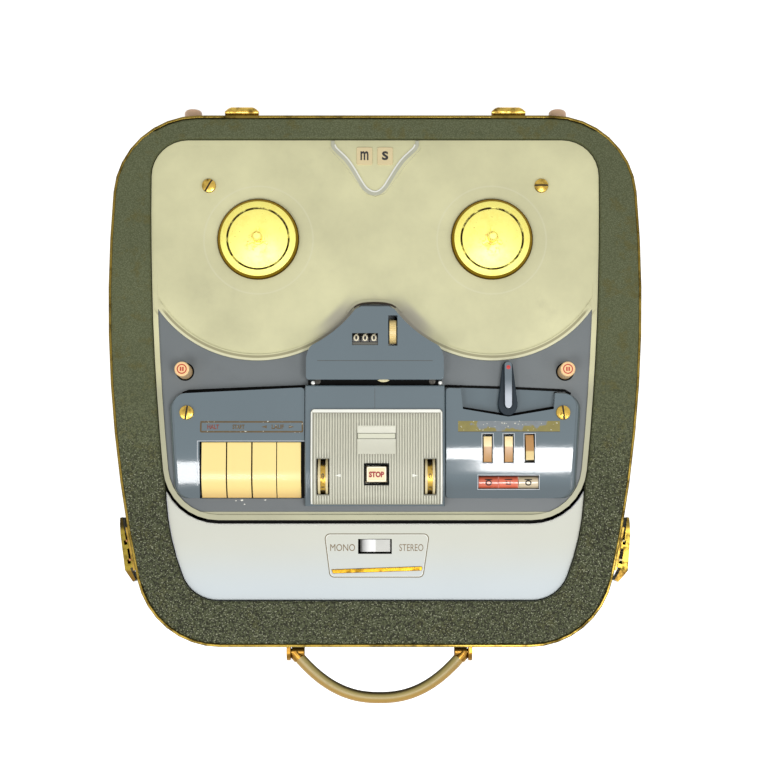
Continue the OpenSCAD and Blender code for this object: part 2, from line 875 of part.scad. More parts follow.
// Tube of round section along the bow
module bow_tube() {
  n = len(bow_line);
  points = [for (i = [0:n - 1])
    let(
      along = bow_line[min(i + 1, n - 1)] - bow_line[max(i - 1, 0)],
      out = [along[1], -along[0]] / norm(along)
    )
    for (k = [0:grip_sides - 1])
      let(p = polar(grip_r, 360 * (k + 0.5) / grip_sides))
      [bow_line[i][0] + out[0] * p[0], bow_line[i][1] + out[1] * p[0], handle_z + p[1]]];
  skin = [for (i = [0:n - 2])
    for (k = [0:grip_sides - 1])
      let(next = (k + 1) % grip_sides)
      [
        i * grip_sides + k,
        i * grip_sides + next,
        (i + 1) * grip_sides + next,
        (i + 1) * grip_sides + k
      ]];
  first = [for (k = [grip_sides - 1:-1:0]) k];
  last = [for (k = [0:grip_sides - 1]) (n - 1) * grip_sides + k];
  polyhedron(points, concat(skin, [first, last]));
}

module handle_grip() {
  hub_in = 5;
  color("#a08a46") translate([handle_x, 0, 0]) {
    bow_tube();
    both_sides() {
      rod_x(handle_hub_r, handle_half_w - hub_in, bracket_low_x - clear, handle_y, handle_z);
      rod_x(handle_pin_r, handle_half_w, bracket_low_x + bracket_t, handle_y, handle_z);
    }
  }
}

// Deck: cream moulding with a lip and beads, and the blue-grey control plate let into it

control_front_lip = 6.7;

module control_field(grow, low, high) {
  intersection() {
    difference() {
      slab(deck_outline(lip_w - grow), low, high);
      both_sides()
        translate([spindle_x, spindle_y, low - cut])
          cylinder(r = bead_r - grow, h = high - low + 2 * cut, $fn = 180);
    }
    box(
      [-deck_half_w, -deck_front + control_front_lip - grow, low - cut],
      [deck_half_w, control_back + grow, high + cut]
    );
  }
}

module deck_screw_holes(low, high) {
  both_sides()
    translate([deck_screw_x, deck_screw_y, low])
      cylinder(r = deck_shank_r + seat, h = high - low);
}

module block_screw_holes(low, high) {
  both_sides()
    translate([block_screw_x, -block_screw_y, low])
      cylinder(r = deck_shank_r + seat, h = high - low);
}

module deck_beads() {
  hump_w = 2 * (spindle_x - sqrt(pow(bead_r, 2) - pow(spindle_y - control_back, 2))) + bead_w;
  both_sides() intersection() {
    translate([spindle_x, spindle_y, deck_z - cut]) difference() {
      cylinder(r = bead_r - seat, h = cut + lip_h, $fn = 180);
      translate([0, 0, -cut]) cylinder(r = bead_r - bead_w, h = lip_h + 3 * cut, $fn = 180);
    }
    box([0, 0, deck_z - 2 * cut], [deck_half_w - lip_w, control_back + bead_w, deck_z + lip_h + cut]);
  }
  hump = [
    [hump_w / 2, control_back + 2 * seat],
    [hump_w / 2 - 1, control_back + bead_w / 2],
    [hump_w / 2 - 4, control_back + bead_w]
  ];
  slab(both_halves(hump), deck_z - cut, deck_z + lip_h);
}

// Raised V round the two mode tiles, by distances from the deck's back edge
module deck_v() {
  rim = lip_w - seat;
  outer = [[0, 45.9], [7.5, 43.5], [13.3, 36.2], [24, 20.8], [36.4, 7.4], [36.4, rim]];
  inner = [[33.2, rim], [33.2, 5.8], [21.2, 18.8], [10.4, 34], [5.6, 40.8], [0, 42.8]];
  both_sides()
    slab([for (p = concat(outer, inner)) [p[0], deck_back - p[1]]], deck_z - cut, deck_z + lip_h);
}

module deck_plate() {
  shaft_gap = 2;
  color("#cdcca5") difference() {
    union() {
      slab(deck_outline(0), deck_under, deck_z);
      difference() {
        slab(deck_outline(0), deck_z - cut, deck_z + lip_h);
        slab(deck_outline(lip_w), deck_z - 2 * cut, deck_z + lip_h + cut);
      }
      deck_beads();
      deck_v();
    }
    control_field(seat, deck_under - cut, deck_z + lip_h + cut);
    deck_screw_holes(deck_under - cut, deck_z + cut);
    both_sides()
      translate([spindle_x, spindle_y, deck_under - cut])
        cylinder(r = shaft_r + shaft_gap, h = deck_t + 2 * cut);
  }
}

module front_panel() {
  gap = 1.5;
  color("#d9dcd6") difference() {
    slab(panel_outline(0), deck_z - panel_drop - panel_t, deck_z - panel_drop);
    slab(deck_outline(-panel_gap), deck_z - panel_drop - panel_t - cut, deck_z + cut);
    box(
      [-stereo_len / 2 - gap, -stereo_y - stereo_w / 2 - gap, deck_z - panel_drop - panel_t - cut],
      [stereo_len / 2 + gap, -stereo_y + stereo_w / 2 + gap, deck_z + cut]
    );
    stereo_pin(run);
  }
}

// Pin of the stereo rocker, along Y, in the panel's thickness
stereo_pin_z = deck_z - panel_drop - panel_t / 2;
stereo_pin_r = 1.2;

module stereo_pin(extra) {
  reach = stereo_w / 2 + 4;
  translate([0, -stereo_y + reach, stereo_pin_z])
    rotate([90, 0, 0])
      cylinder(r = stereo_pin_r + extra, h = 2 * reach);
}

module stereo_rocker() {
  top = panel_t / 2 + 1;
  drop = panel_t;
  slope = top - stereo_len / 2 * tan(stereo_tilt) / 2;
  color("#d0d0cc") {
    stereo_pin(0);
    translate([0, -stereo_y + stereo_w / 2, stereo_pin_z])
      rotate([90, 0, 0])
        linear_extrude(stereo_w)
          rotate([0, 0, -stereo_tilt / 2])
            polygon([
              [-stereo_len / 2 + 0.6, slope],
              [0, top],
              [stereo_len / 2 - 0.6, slope],
              [stereo_len / 2 - 4, -drop],
              [-stereo_len / 2 + 4, -drop]
            ]);
  }
}

// Brass slotted screws that hold the deck to the chassis posts
screw_head_h = 2;

module slotted_screw(surface, low, turn) {
  slot_w = 1.2;
  slot_d = 1;
  difference() {
    union() {
      translate([0, 0, surface]) cylinder(r1 = deck_screw_r, r2 = deck_screw_r - 1.2, h = screw_head_h);
      translate([0, 0, low]) cylinder(r = deck_shank_r, h = surface - low + cut);
    }
    translate([0, 0, surface + screw_head_h - slot_d])
      rotate([0, 0, turn])
        translate([-deck_screw_r, -slot_w / 2, 0])
          cube([2 * deck_screw_r, slot_w, slot_d + cut]);
  }
}

post_hole = 10;

module deck_screws() {
  back_turn = [30, 60];
  front_turn = [80, 95];
  color("#c9a227") for (side = [0, 1]) mirror([side, 0, 0]) {
    translate([deck_screw_x, deck_screw_y, 0])
      slotted_screw(deck_z, deck_under - post_hole, back_turn[side]);
    translate([block_screw_x, -block_screw_y, 0])
      slotted_screw(deck_z + block_h, deck_under - post_hole, front_turn[side]);
  }
}

// Control plate, open where the mechanism rises

mech_half_w = 50;
mech_back = 20;
rocker_room = 16;

module control_plate() {
  color("#777d7d") difference() {
    union() {
      control_field(0, deck_under, control_z);
      translate([lever_x, -lever_y, deck_under]) cylinder(r = lever_pin_r, h = deck_t + lever_pin_h);
    }
    box([-mech_half_w, -cover_front + cover_seat, deck_under - cut], [mech_half_w, mech_back, deck_z]);
    on_left()
      box([key_inner, -block_front, deck_under - cut], [key_outer, -key_axle_y + key_hub_r + 2, deck_z]);
    box(
      [lever_x - 2 * rocker_pitch, -rocker_y - rocker_room, deck_under - cut],
      [lever_x + 2 * rocker_pitch, -rocker_y + rocker_room, deck_z]
    );
    block_screw_holes(deck_under - cut, deck_z);
    both_sides()
      translate([button_x, button_y, deck_under - cut])
        cylinder(r = button_r + button_gap, h = deck_t + cut);
  }
}

// Left and right housings; both are drawn on the right

function block_outline(inset) =
  let(inner_r = 3, r = block_corner_r - inset)
  rounded([
    [block_inner + inset, -block_back_in - inset, inner_r - inset / 2],
    [block_side_back - inset, -block_back_out - inset, r],
    [block_side_front - inset, -block_front + inset, r],
    [block_inner + inset, -block_front + inset, inner_r - inset / 2]
  ]);

module block_solid(inset, low) {
  side_view = concat(
    [[0, low], [0, deck_z + block_h - inset]],
    roll_curve(block_roll, block_front, deck_z + block_h - inset, deck_z + block_front_h - inset),
    [[-block_front, low]]
  );
  intersection() {
    slab(block_outline(inset), low, top_z);
    along_x(block_inner - cut, block_side_back + cut) polygon(side_view);
  }
}

module block_shell() {
  difference() {
    block_solid(0, control_z);
    block_solid(block_wall, control_z - cut);
  }
}

// Upright rib inside a housing
module block_rib(low_x, high_x, y_front, y_back) {
  intersection() {
    block_solid(0, control_z);
    box([low_x, -y_front, control_z], [high_x, -y_back, top_z]);
  }
}

key_axle_z = deck_z + key_axle_h;
key_hub_r = key_axle_r + 3;
rib_t = 2;

module key_block() {
  color("#727e84") on_left() difference() {
    union() {
      difference() {
        block_shell();
        box([key_inner, -block_front - cut, control_z - cut], [key_outer, -key_back, top_z]);
      }
      block_rib(key_outer + key_gap, key_outer + key_gap + rib_t, key_back, key_axle_y - key_hub_r);
    }
    rod_x(key_axle_r + seat, block_inner - cut, key_outer + key_gap + rib_t + cut, -key_axle_y, key_axle_z);
    block_screw_holes(control_z - cut, top_z);
  }
}

module key_axle() {
  color("#b9b9b4") on_left()
    rod_x(key_axle_r, block_inner, key_outer + key_gap + rib_t, -key_axle_y, key_axle_z);
}

// One key, counted from the inner end of the row
module piano_key(place) {
  low_x = key_inner + place * key_pitch + key_gap / 2;
  high_x = low_x + key_pitch - key_gap;
  top = deck_z + key_h;
  bottom = deck_z - key_depth;
  front = block_front - key_gap;
  back = key_back + key_gap;
  nose_h = 2;
  heel = 5;
  side_view = concat(
    [[-back, top]],
    roll_curve(key_roll, front, top, deck_z + nose_h),
    [[-front, bottom], [-back, bottom]]
  );
  color("#feeca0") on_left() difference() {
    union() {
      along_x(low_x, high_x) polygon(side_view);
      along_x(low_x, high_x)
        polygon([
          [-key_axle_y, key_axle_z + key_axle_r],
          [-back - heel, key_axle_z + key_axle_r],
          [-back - heel, bottom],
          [-key_axle_y, key_axle_z - key_hub_r + cut]
        ]);
      rod_x(key_hub_r, low_x, high_x, -key_axle_y, key_axle_z);
    }
    rod_x(key_axle_r + run, low_x - cut, high_x + cut, -key_axle_y, key_axle_z);
  }
}

module halt_key() piano_key(3);

module start_key() piano_key(2);

module rewind_key() piano_key(1);

module forward_key() piano_key(0);

// Selector block: lever notch, three rocker slots and the indicator window

notch_front = lever_r + 1;
notch_shoulder = notch_front - 6;
notch_shoulder_w = notch_half_w - 2.5;

module lever_notch(grow, low) {
  slab(
    [
      [lever_x - notch_half_w - grow, cut],
      [lever_x - notch_shoulder_w - grow, -lever_y - notch_shoulder - grow],
      [lever_x, -lever_y - notch_front - grow],
      [lever_x + notch_shoulder_w + grow, -lever_y - notch_shoulder - grow],
      [lever_x + notch_half_w + grow, cut]
    ],
    low,
    top_z
  );
}

rocker_axis_z = deck_z + rocker_z;
rocker_row = 1.5 * rocker_pitch;

module selector_block() {
  color("#727e84") difference() {
    union() {
      block_shell();
      intersection() {
        block_solid(0, control_z);
        lever_notch(block_wall, control_z);
      }
      for (side = [-1, 1])
        block_rib(
          lever_x + side * rocker_row - rib_t / 2,
          lever_x + side * rocker_row + rib_t / 2,
          rocker_y + 4,
          rocker_y - 4
        );
    }
    lever_notch(0, control_z - cut);
    for (i = [-1:1])
      box(
        [lever_x + i * rocker_pitch - rocker_w / 2 - clear, -rocker_y - rocker_slot / 2, control_z],
        [lever_x + i * rocker_pitch + rocker_w / 2 + clear, -rocker_y + rocker_slot / 2, top_z]
      );
    box(
      [lever_x - strip_len / 2 - clear, -strip_y - strip_r - clear, control_z],
      [lever_x + strip_len / 2 + clear, -strip_y + strip_r + clear, top_z]
    );
    rod_x(
      rocker_axle_r + seat,
      lever_x - rocker_row - rib_t,
      lever_x + rocker_row + rib_t,
      -rocker_y,
      rocker_axis_z
    );
    block_screw_holes(control_z - cut, top_z);
  }
}

module rocker_axle() {
  color("#b9b9b4")
    rod_x(
      rocker_axle_r,
      lever_x - rocker_row - rib_t / 2,
      lever_x + rocker_row + rib_t / 2,
      -rocker_y,
      rocker_axis_z
    );
}

// One rocker: place counts from the middle, lean is its tilt at rest
module rocker(place, lean) {
  low_x = lever_x + place * rocker_pitch - rocker_w / 2;
  crown = 1.6;
  hub_r = rocker_axle_r + 2;
  color("#e6cf9a") translate([0, -rocker_y, rocker_axis_z]) rotate([lean, 0, 0]) difference() {
    union() {
      along_x(low_x, low_x + rocker_w)
        polygon([
          [-rocker_len / 2, rocker_h - crown],
          [0, rocker_h],
          [rocker_len / 2, rocker_h - crown],
          [hub_r, 0],
          [-hub_r, 0]
        ]);
      rod_x(hub_r, low_x, low_x + rocker_w, 0, 0);
    }
    rod_x(rocker_axle_r + run, low_x - cut, low_x + rocker_w + cut, 0, 0);
  }
}

module left_rocker() rocker(-1, rocker_tilt);

module middle_rocker() rocker(0, rocker_tilt);

module right_rocker() rocker(1, -rocker_tilt);

module indicator_strip() {
  axis_z = deck_z + block_front_h - strip_r + 3;
  groove = 0.8;
  color("#8f3a2e") difference() {
    union() {
      rod_x(strip_r, lever_x - strip_len / 2, lever_x + strip_len / 2, -strip_y, axis_z);
      box(
        [lever_x - strip_len / 2, -strip_y - strip_r + 1, control_z],
        [lever_x + strip_len / 2, -strip_y + strip_r - 1, axis_z]
      );
    }
    for (side = [-1, 1])
      box(
        [lever_x + side * strip_len / 6 - groove / 2, -strip_y - 2 * strip_r, axis_z + strip_r / 2],
        [lever_x + side * strip_len / 6 + groove / 2, -strip_y + 2 * strip_r, top_z]
      );
    box(
      [lever_x - strip_len, -strip_y - 2 * strip_r, axis_z - 2 * strip_r],
      [lever_x + strip_len, -strip_y + 2 * strip_r, control_z]
    );
  }
}

// Pointer lever that sets the tape speed
module speed_lever() {
  foot_z = control_z + clear;
  body = lever_h + control_drop - clear;
  ridge_r = 3.5;
  bore_h = lever_pin_h + control_drop;
  color("#727e84") translate([lever_x, -lever_y, foot_z]) difference() {
    union() {
      linear_extrude(body) polygon(two_round(lever_r, lever_tip_r, lever_len - lever_tip_r));
      linear_extrude(body + lever_ridge_h)
        polygon(two_round(ridge_r, lever_tip_r - 0.6, lever_len - lever_tip_r));
    }
    translate([0, 0, -cut]) cylinder(r = lever_pin_r + run, h = bore_h + cut);
  }
}

// Centre block and its ribbed cover

function centre_curve(lift) =
  roll_curve(centre_roll, centre_front, deck_z + centre_h + lift, deck_z + centre_front_h + lift);

module centre_solid(inset, low) {
  side_view = concat(
    [[-centre_back - inset, low], [-centre_back - inset, deck_z + centre_h - inset]],
    centre_curve(-inset),
    [[-centre_front, low]]
  );
  intersection() {
    along_x(-centre_half_w + inset, centre_half_w - inset) polygon(side_view);
    box([-centre_half_w, -centre_front + inset, low - cut], [centre_half_w, 0, top_z]);
  }
}

module centre_block() {
  color("#738188") difference() {
    centre_solid(0, control_z);
    centre_solid(block_wall, control_z - cut);
    box(
      [-cover_inner, -cover_front + cover_seat, control_z - cut],
      [cover_inner, -cover_back - cover_seat, top_z]
    );
    box(
      [capstan_x - roller_r - 2, -centre_back - 2 * block_wall, control_z - cut],
      [capstan_x + roller_r + 2, 0, deck_z + 10]
    );
  }
}

// The slots reach further to the front, where the cover rolls down
module thumb_slots() {
  forward = 0.5;
  both_sides()
    box(
      [thumb_x - thumb_slot_w / 2, -thumb_y - thumb_slot / 2 - forward, control_z],
      [thumb_x + thumb_slot_w / 2, -thumb_y + thumb_slot / 2 - forward, top_z]
    );
}

module ribbed_cover() {
  corner = 3;
  scoop_len = 22;
  scoop_d = cover_t / 2;
  scoop_r = (scoop_len * scoop_len / 4 + scoop_d * scoop_d) / (2 * scoop_d);
  scoop_y = -eye_y - 3;
  top = deck_z + centre_h + cover_t;
  lower = centre_curve(0);
  upper = centre_curve(cover_t);
  band = concat(
    [[-cover_back, deck_z + centre_h], [-cover_back, top]],
    upper,
    [for (i = [len(lower) - 1:-1:0]) lower[i]]
  );
  color("#c9c9b8") difference() {
    intersection() {
      along_x(-cover_half_w, cover_half_w) polygon(band);
      slab(
        rounded([
          [-cover_half_w, -cover_back, corner],
          [cover_half_w, -cover_back, corner],
          [cover_half_w, -cover_front, corner],
          [-cover_half_w, -cover_front, corner]
        ]),
        control_z,
        top_z
      );
    }
    rod_x(scoop_r, -eye_half_w, eye_half_w, scoop_y, top - scoop_d + scoop_r);
    box(
      [-eye_half_w, -eye_y - eye_bar_w / 2 - clear, control_z],
      [eye_half_w, -eye_y + eye_bar_w / 2 + clear, top_z]
    );
    box(
      [-stop_len / 2 - stop_gap, -stop_y - stop_w / 2 - stop_gap, control_z],
      [stop_len / 2 + stop_gap, -stop_y + stop_w / 2 + stop_gap, top_z]
    );
    thumb_slots();
  }
}

// Tuning-eye tube lying under the cover, with its light bar in the window
module eye_tube() {
  half_len = eye_half_w + 7;
  leg = 3;
  bar_top = deck_z + centre_h + 0.6;
  color("#e8eede") {
    rod_x(eye_r, -half_len, half_len, -eye_y, eye_z);
    box(
      [-eye_half_w + clear, -eye_y - eye_bar_w / 2, eye_z],
      [eye_half_w - clear, -eye_y + eye_bar_w / 2, bar_top]
    );
    both_sides()
      box([half_len - leg, -eye_y - leg, chassis_z], [half_len, -eye_y + leg, eye_z]);
  }
}

stop_travel = 3.5;
stop_pin_r = 2;

module stop_button() {
  flange = stop_gap + 1;
  flange_t = 1.5;
  stem = 3;
  slope_top = deck_z + centre_h + cover_t - 1;
  flange_z = deck_z + centre_h - 2 * flange_t - 1.5;
  color("#f3c08f") {
    box(
      [-stop_len / 2, -stop_y - stop_w / 2, flange_z],
      [stop_len / 2, -stop_y + stop_w / 2, slope_top + stop_proud]
    );
    box(
      [-stop_len / 2 - flange, -stop_y - stop_w / 2, flange_z],
      [stop_len / 2 + flange, -stop_y + stop_w / 2, flange_z + flange_t]
    );
    box([-stem, -stop_y - stem, chassis_z + stop_travel + 2], [stem, -stop_y + stem, flange_z]);
    translate([0, -stop_y, chassis_z - 1]) cylinder(r = stop_pin_r, h = stop_travel + 4);
  }
}

thumb_axis_z = deck_z + thumb_z;

// A thumbwheel with two raised rims and a sunken number band
module thumbwheel() {
  rim_w = 2;
  band_d = 0.8;
  low_x = thumb_x - thumb_w / 2;
  difference() {
    union() {
      rod_x(thumb_r - band_d, low_x, low_x + thumb_w, -thumb_y, thumb_axis_z);
      rod_x(thumb_r, low_x, low_x + rim_w, -thumb_y, thumb_axis_z);
      rod_x(thumb_r, low_x + thumb_w - rim_w, low_x + thumb_w, -thumb_y, thumb_axis_z);
    }
    rod_x(pot_shaft_r + run, low_x - cut, low_x + thumb_w + cut, -thumb_y, thumb_axis_z);
  }
}

module level_wheel() {
  color("#cbb56a") on_left() thumbwheel();
}

module tone_wheel() {
  color("#cbb56a") thumbwheel();
}

module wheel_pots() {
  pot_r = 3 * pot_shaft_r;
  pot_len = 11;
  pot_end = thumb_x - thumb_w / 2 - clear;
  leg = 4;
  color("#8c8a80") both_sides() {
    rod_x(pot_r, pot_end - pot_len, pot_end, -thumb_y, thumb_axis_z);
    rod_x(pot_shaft_r, pot_end - cut, thumb_x + thumb_w / 2 + 1, -thumb_y, thumb_axis_z);
    box(
      [pot_end - pot_len, -thumb_y - leg, chassis_z],
      [pot_end - pot_len + leg, -thumb_y + leg, thumb_axis_z]
    );
  }
}

// Head cover with hollow flanks round the reels, open at the front for the tape

module head_solid(inset, low, high) {
  nose = 12;
  shoulder = 30;
  half = [
    [head_half_w - inset, inset],
    [head_half_w - inset, shoulder - 8],
    [head_half_w - 3 - inset, shoulder],
    [nose + 5, head_back - 3 - inset],
    [nose - 1, head_back - inset]
  ];
  difference() {
    slab(both_halves(half), low, high);
    both_sides()
      translate([spindle_x, spindle_y, low - cut])
        cylinder(r = flank_r + inset, h = high - low + 2 * cut, $fn = 180);
  }
}

digit_span = 3 * digit_pitch - 0.5;

module head_cover() {
  reset_gap = 1;
  color("#737e83") difference() {
    head_solid(0, control_z, deck_z + head_h);
    head_solid(block_wall, control_z - cut, deck_z + head_h - block_wall);
    box([-tape_half_w, -cut, control_z - cut], [tape_half_w, 2 * block_wall, deck_z + tape_h]);
    box(
      [digit_x - digit_span / 2, digit_y - digit_window / 2, deck_z + tape_h],
      [digit_x + digit_span / 2, digit_y + digit_window / 2, top_z]
    );
    box(
      [reset_x - reset_w / 2 - reset_gap, reset_y - reset_slot / 2, deck_z + tape_h],
      [reset_x + reset_w / 2 + reset_gap, reset_y + reset_slot / 2, top_z]
    );
  }
}

digit_axis_z = deck_z + digit_z;
reset_axis_z = deck_z + reset_z;
counter_t = 1.6;

module counter_frame() {
  outer = digit_x - 1.5 * digit_pitch - 1;
  inner = digit_x + 1.5 * digit_pitch + 1;
  far = reset_x + reset_w / 2 + 1;
  front = digit_y - 6;
  back = reset_y + 6;
  high = deck_z + head_h - block_wall - clear - 2;
  color("#8c8a80") {
    box([outer - counter_t, front, control_z], [far + counter_t, back, control_z + counter_t]);
    for (x = [outer - counter_t, inner, far])
      box([x, front, control_z], [x + counter_t, back, high]);
    rod_x(counter_axle_r, outer - counter_t / 2, inner + counter_t / 2, digit_y, digit_axis_z);
    rod_x(counter_axle_r, inner + counter_t / 2, far + counter_t / 2, reset_y, reset_axis_z);
  }
}

// One digit wheel: place counts from the middle one
module digit_wheel(place) {
  low_x = digit_x + place * digit_pitch - digit_w / 2;
  color("#2b2622") difference() {
    rod_x(digit_r, low_x, low_x + digit_w, digit_y, digit_axis_z);
    rod_x(counter_axle_r + run, low_x - cut, low_x + digit_w + cut, digit_y, digit_axis_z);
  }
}

module units_wheel() digit_wheel(1);

module tens_wheel() digit_wheel(0);

module hundreds_wheel() digit_wheel(-1);

module reset_wheel() {
  ribs = 36;
  rib_r = 0.5;
  low_x = reset_x - reset_w / 2;
  color("#dcc898") difference() {
    rod_x(reset_r, low_x, low_x + reset_w, reset_y, reset_axis_z);
    rod_x(counter_axle_r + run, low_x - cut, low_x + reset_w + cut, reset_y, reset_axis_z);
    for (i = [0:ribs - 1])
      translate([low_x - cut, reset_y, reset_axis_z])
        rotate([360 * i / ribs, 0, 0])
          translate([0, reset_r - rib_r, -rib_r / 2])
            cube([reset_w + 2 * cut, 2 * rib_r, rib_r]);
  }
}

// Round push buttons in the control plate, each stopped by a flange under it

module round_button() {
  flange_t = 2;
  stem = 6;
  translate([button_x, button_y, 0]) {
    translate([0, 0, deck_under - clear])
      cylinder(r = button_r, h = button_h + deck_t + clear);
    translate([0, 0, deck_under - clear - flange_t])
      cylinder(r = button_r + 2, h = flange_t);
    translate([0, 0, deck_under - flange_t - stem])
      cylinder(r = button_r / 2, h = stem);
  }
}

module left_button() {
  color("#ddcbac") on_left() round_button();
}

module right_button() {
  color("#ddcbac") round_button();
}

// Brass turntables on shafts that run in bushes on the chassis

bush_h = 10;

module turntable() {
  seat_z = deck_z + turntable_h;
  rim_z = deck_z + 2.2;
  bevel = 2.6;
  tip = 1.5;
  groove_r = 0.75 * turntable_r;
  groove = 0.6;
  low = chassis_under - 4;
  fin_r = 9;
  fin_t = 1.8;
  fin_h = 3;
  collar_r = spindle_r + 1.3;
  translate([spindle_x, spindle_y, 0]) {
    for (a = [90, 210, 330])
      rotate([0, 0, a])
        box([0, -fin_t / 2, seat_z - cut], [fin_r, fin_t / 2, seat_z + fin_h]);
    rotate_extrude()
      polygon([
        [0, low],
        [shaft_r, low],
        [shaft_r, rim_z],
        [turntable_r, rim_z],
        [turntable_r, seat_z - bevel],
        [turntable_r - bevel, seat_z],
        [groove_r + groove, seat_z],
        [groove_r, seat_z - groove],
        [groove_r - groove, seat_z],
        [collar_r, seat_z],
        [collar_r, seat_z + fin_h],
        [spindle_r, seat_z + fin_h],
        [spindle_r, deck_z + spindle_h - tip],
        [spindle_r - tip, deck_z + spindle_h],
        [0, deck_z + spindle_h]
      ]);
  }
}

module supply_turntable() {
  color("#d9b53a") on_left() turntable();
}

module takeup_turntable() {
  color("#d9b53a") turntable();
}

module bush(bore) {
  difference() {
    translate([0, 0, chassis_under]) cylinder(r = bore + bush_wall, h = chassis_t + bush_h);
    translate([0, 0, chassis_under - cut]) cylinder(r = bore + run, h = chassis_t + bush_h + 2 * cut);
  }
}

module bearing_bushes() {
  color("#b08d3c") {
    both_sides() translate([spindle_x, spindle_y, 0]) bush(shaft_r);
    translate([capstan_x, capstan_y, 0]) bush(capstan_r);
  }
}

// Chassis plate with its riveted posts

chassis_front = 96;
chassis_back = 172;
leg_x = 150;
leg_y = [-80, 150];

module chassis() {
  corner = 20;
  post_top = deck_under;
  color("#a7a79f") difference() {
    union() {
      slab(
        rounded([
          [-chassis_half_w, chassis_back, corner],
          [chassis_half_w, chassis_back, corner],
          [chassis_half_w, -chassis_front, corner],
          [-chassis_half_w, -chassis_front, corner]
        ]),
        chassis_under,
        chassis_z
      );
      both_sides() {
        for (y = leg_y) translate([leg_x, y, wall_z]) cylinder(r = leg_r, h = chassis_under - wall_z + cut);
        translate([deck_screw_x, deck_screw_y, chassis_z - cut])
          cylinder(r = post_r, h = post_top - chassis_z + cut);
        translate([block_screw_x, -block_screw_y, chassis_z - cut])
          cylinder(r = post_r, h = post_top - chassis_z + cut);
      }
      translate([pinch_x, -roller_y, chassis_z - cut])
        cylinder(r = pinch_pin_r, h = pinch_arm_z - chassis_z + pinch_arm_t + 2 * cut);
    }
    both_sides()
      translate([spindle_x, spindle_y, chassis_under - cut])
        cylinder(r = shaft_r + bush_wall + seat, h = chassis_t + 2 * cut);
    translate([capstan_x, capstan_y, chassis_under - cut])
      cylinder(r = capstan_r + bush_wall + seat, h = chassis_t + 2 * cut);
    translate([0, -stop_y, chassis_under - cut])
      cylinder(r = stop_pin_r + clear, h = chassis_t + 2 * cut);
    deck_screw_holes(deck_under - post_hole - cut, deck_z);
    block_screw_holes(deck_under - post_hole - cut, deck_z);
  }
}

// Motor hung under the chassis on three posts, its pulley level with the flywheel

motor_top = flywheel_top - flywheel_t - 6;
motor_shaft_r = 2.5;

module motor() {
  post_angles = [100, 180, 260];
  motor_post_r = 3;
  color("#8f8f88") translate([motor_x, motor_y, 0]) {
    translate([0, 0, motor_top - motor_h]) cylinder(r = motor_r, h = motor_h);
    for (a = post_angles)
      rotate([0, 0, a])
        translate([motor_r - 2 * motor_post_r, 0, motor_top - cut])
          cylinder(r = motor_post_r, h = chassis_under - motor_top + cut);
    translate([0, 0, motor_top - cut]) cylinder(r = motor_shaft_r, h = flywheel_top - motor_top + cut);
  }
}

module motor_pulley() {
  color("#b08d3c") translate([motor_x, motor_y, flywheel_top - flywheel_t]) difference() {
    cylinder(r = pulley_r, h = flywheel_t - clear);
    translate([0, 0, -cut]) cylinder(r = motor_shaft_r + run, h = flywheel_t + 2 * cut);
  }
}

module drive_belt() {
  span = [motor_x - capstan_x, motor_y - capstan_y];
  inner = clear;
  color("#3a3632")
    translate([capstan_x, capstan_y, belt_z])
      rotate([0, 0, atan2(span[1], span[0]) - 90])
        linear_extrude(belt_w)
          difference() {
            polygon(two_round(flywheel_r + inner + belt_t, pulley_r + inner + belt_t, norm(span)));
            polygon(two_round(flywheel_r + inner, pulley_r + inner, norm(span)));
          }
}

capstan_top = deck_z + 12;

module flywheel() {
  color("#b3a88a") translate([capstan_x, capstan_y, 0]) {
    translate([0, 0, flywheel_top - flywheel_t]) cylinder(r = flywheel_r, h = flywheel_t);
    translate([0, 0, flywheel_top - cut]) cylinder(r = capstan_r, h = capstan_top - flywheel_top + cut);
  }
}

// Pinch arm on its pin, and the rubber roller that it swings to the capstan

pinch_arm_t = 4;
pinch_arm_z = deck_under - pinch_arm_t - 4;
roller_pin_r = 2;
roller_low = pinch_arm_z + pinch_arm_t + clear;
roller_h = 16;

module pinch_arm() {
  color("#a7a79f") difference() {
    union() {
      translate([pinch_x, -roller_y, pinch_arm_z])
        rotate([0, 0, -90])
          linear_extrude(pinch_arm_t)
            polygon(two_round(pinch_pin_r + 3, roller_pin_r + 3, pinch_len));
      translate([capstan_x, -roller_y, pinch_arm_z])
        cylinder(r = roller_pin_r, h = pinch_arm_t + roller_h + 1);
    }
    translate([pinch_x, -roller_y, pinch_arm_z - cut])
      cylinder(r = pinch_pin_r + run, h = pinch_arm_t + 2 * cut);
  }
}

module pinch_roller() {
  color("#d8cfae") translate([capstan_x, -roller_y, roller_low]) difference() {
    cylinder(r = roller_r, h = roller_h);
    translate([0, 0, -cut]) cylinder(r = roller_pin_r + run, h = roller_h + 2 * cut);
  }
}

// Erase and sound heads between two guide posts
module tape_heads() {
  head_places = [-36, -15];
  head_w = 13;
  head_d = 13;
  stem = 3;
  face_y = 0.5;
  guide_r = 2.5;
  guide_x = tape_half_w - 4;
  color("#c4c4c0") {
    for (x = head_places) {
      box([x - head_w / 2, face_y, control_z - 3], [x + head_w / 2, face_y + head_d, capstan_top]);
      box(
        [x - stem, face_y + head_d / 2 - stem, chassis_z],
        [x + stem, face_y + head_d / 2 + stem, control_z]
      );
    }
    both_sides() translate([guide_x, -face_y, chassis_z]) cylinder(r = guide_r, h = capstan_top - chassis_z);
  }
}

// Power and sound pieces on the base board
transformer_place = [60, -110, wall_z];
amplifier_place = [20, 45, wall_z];

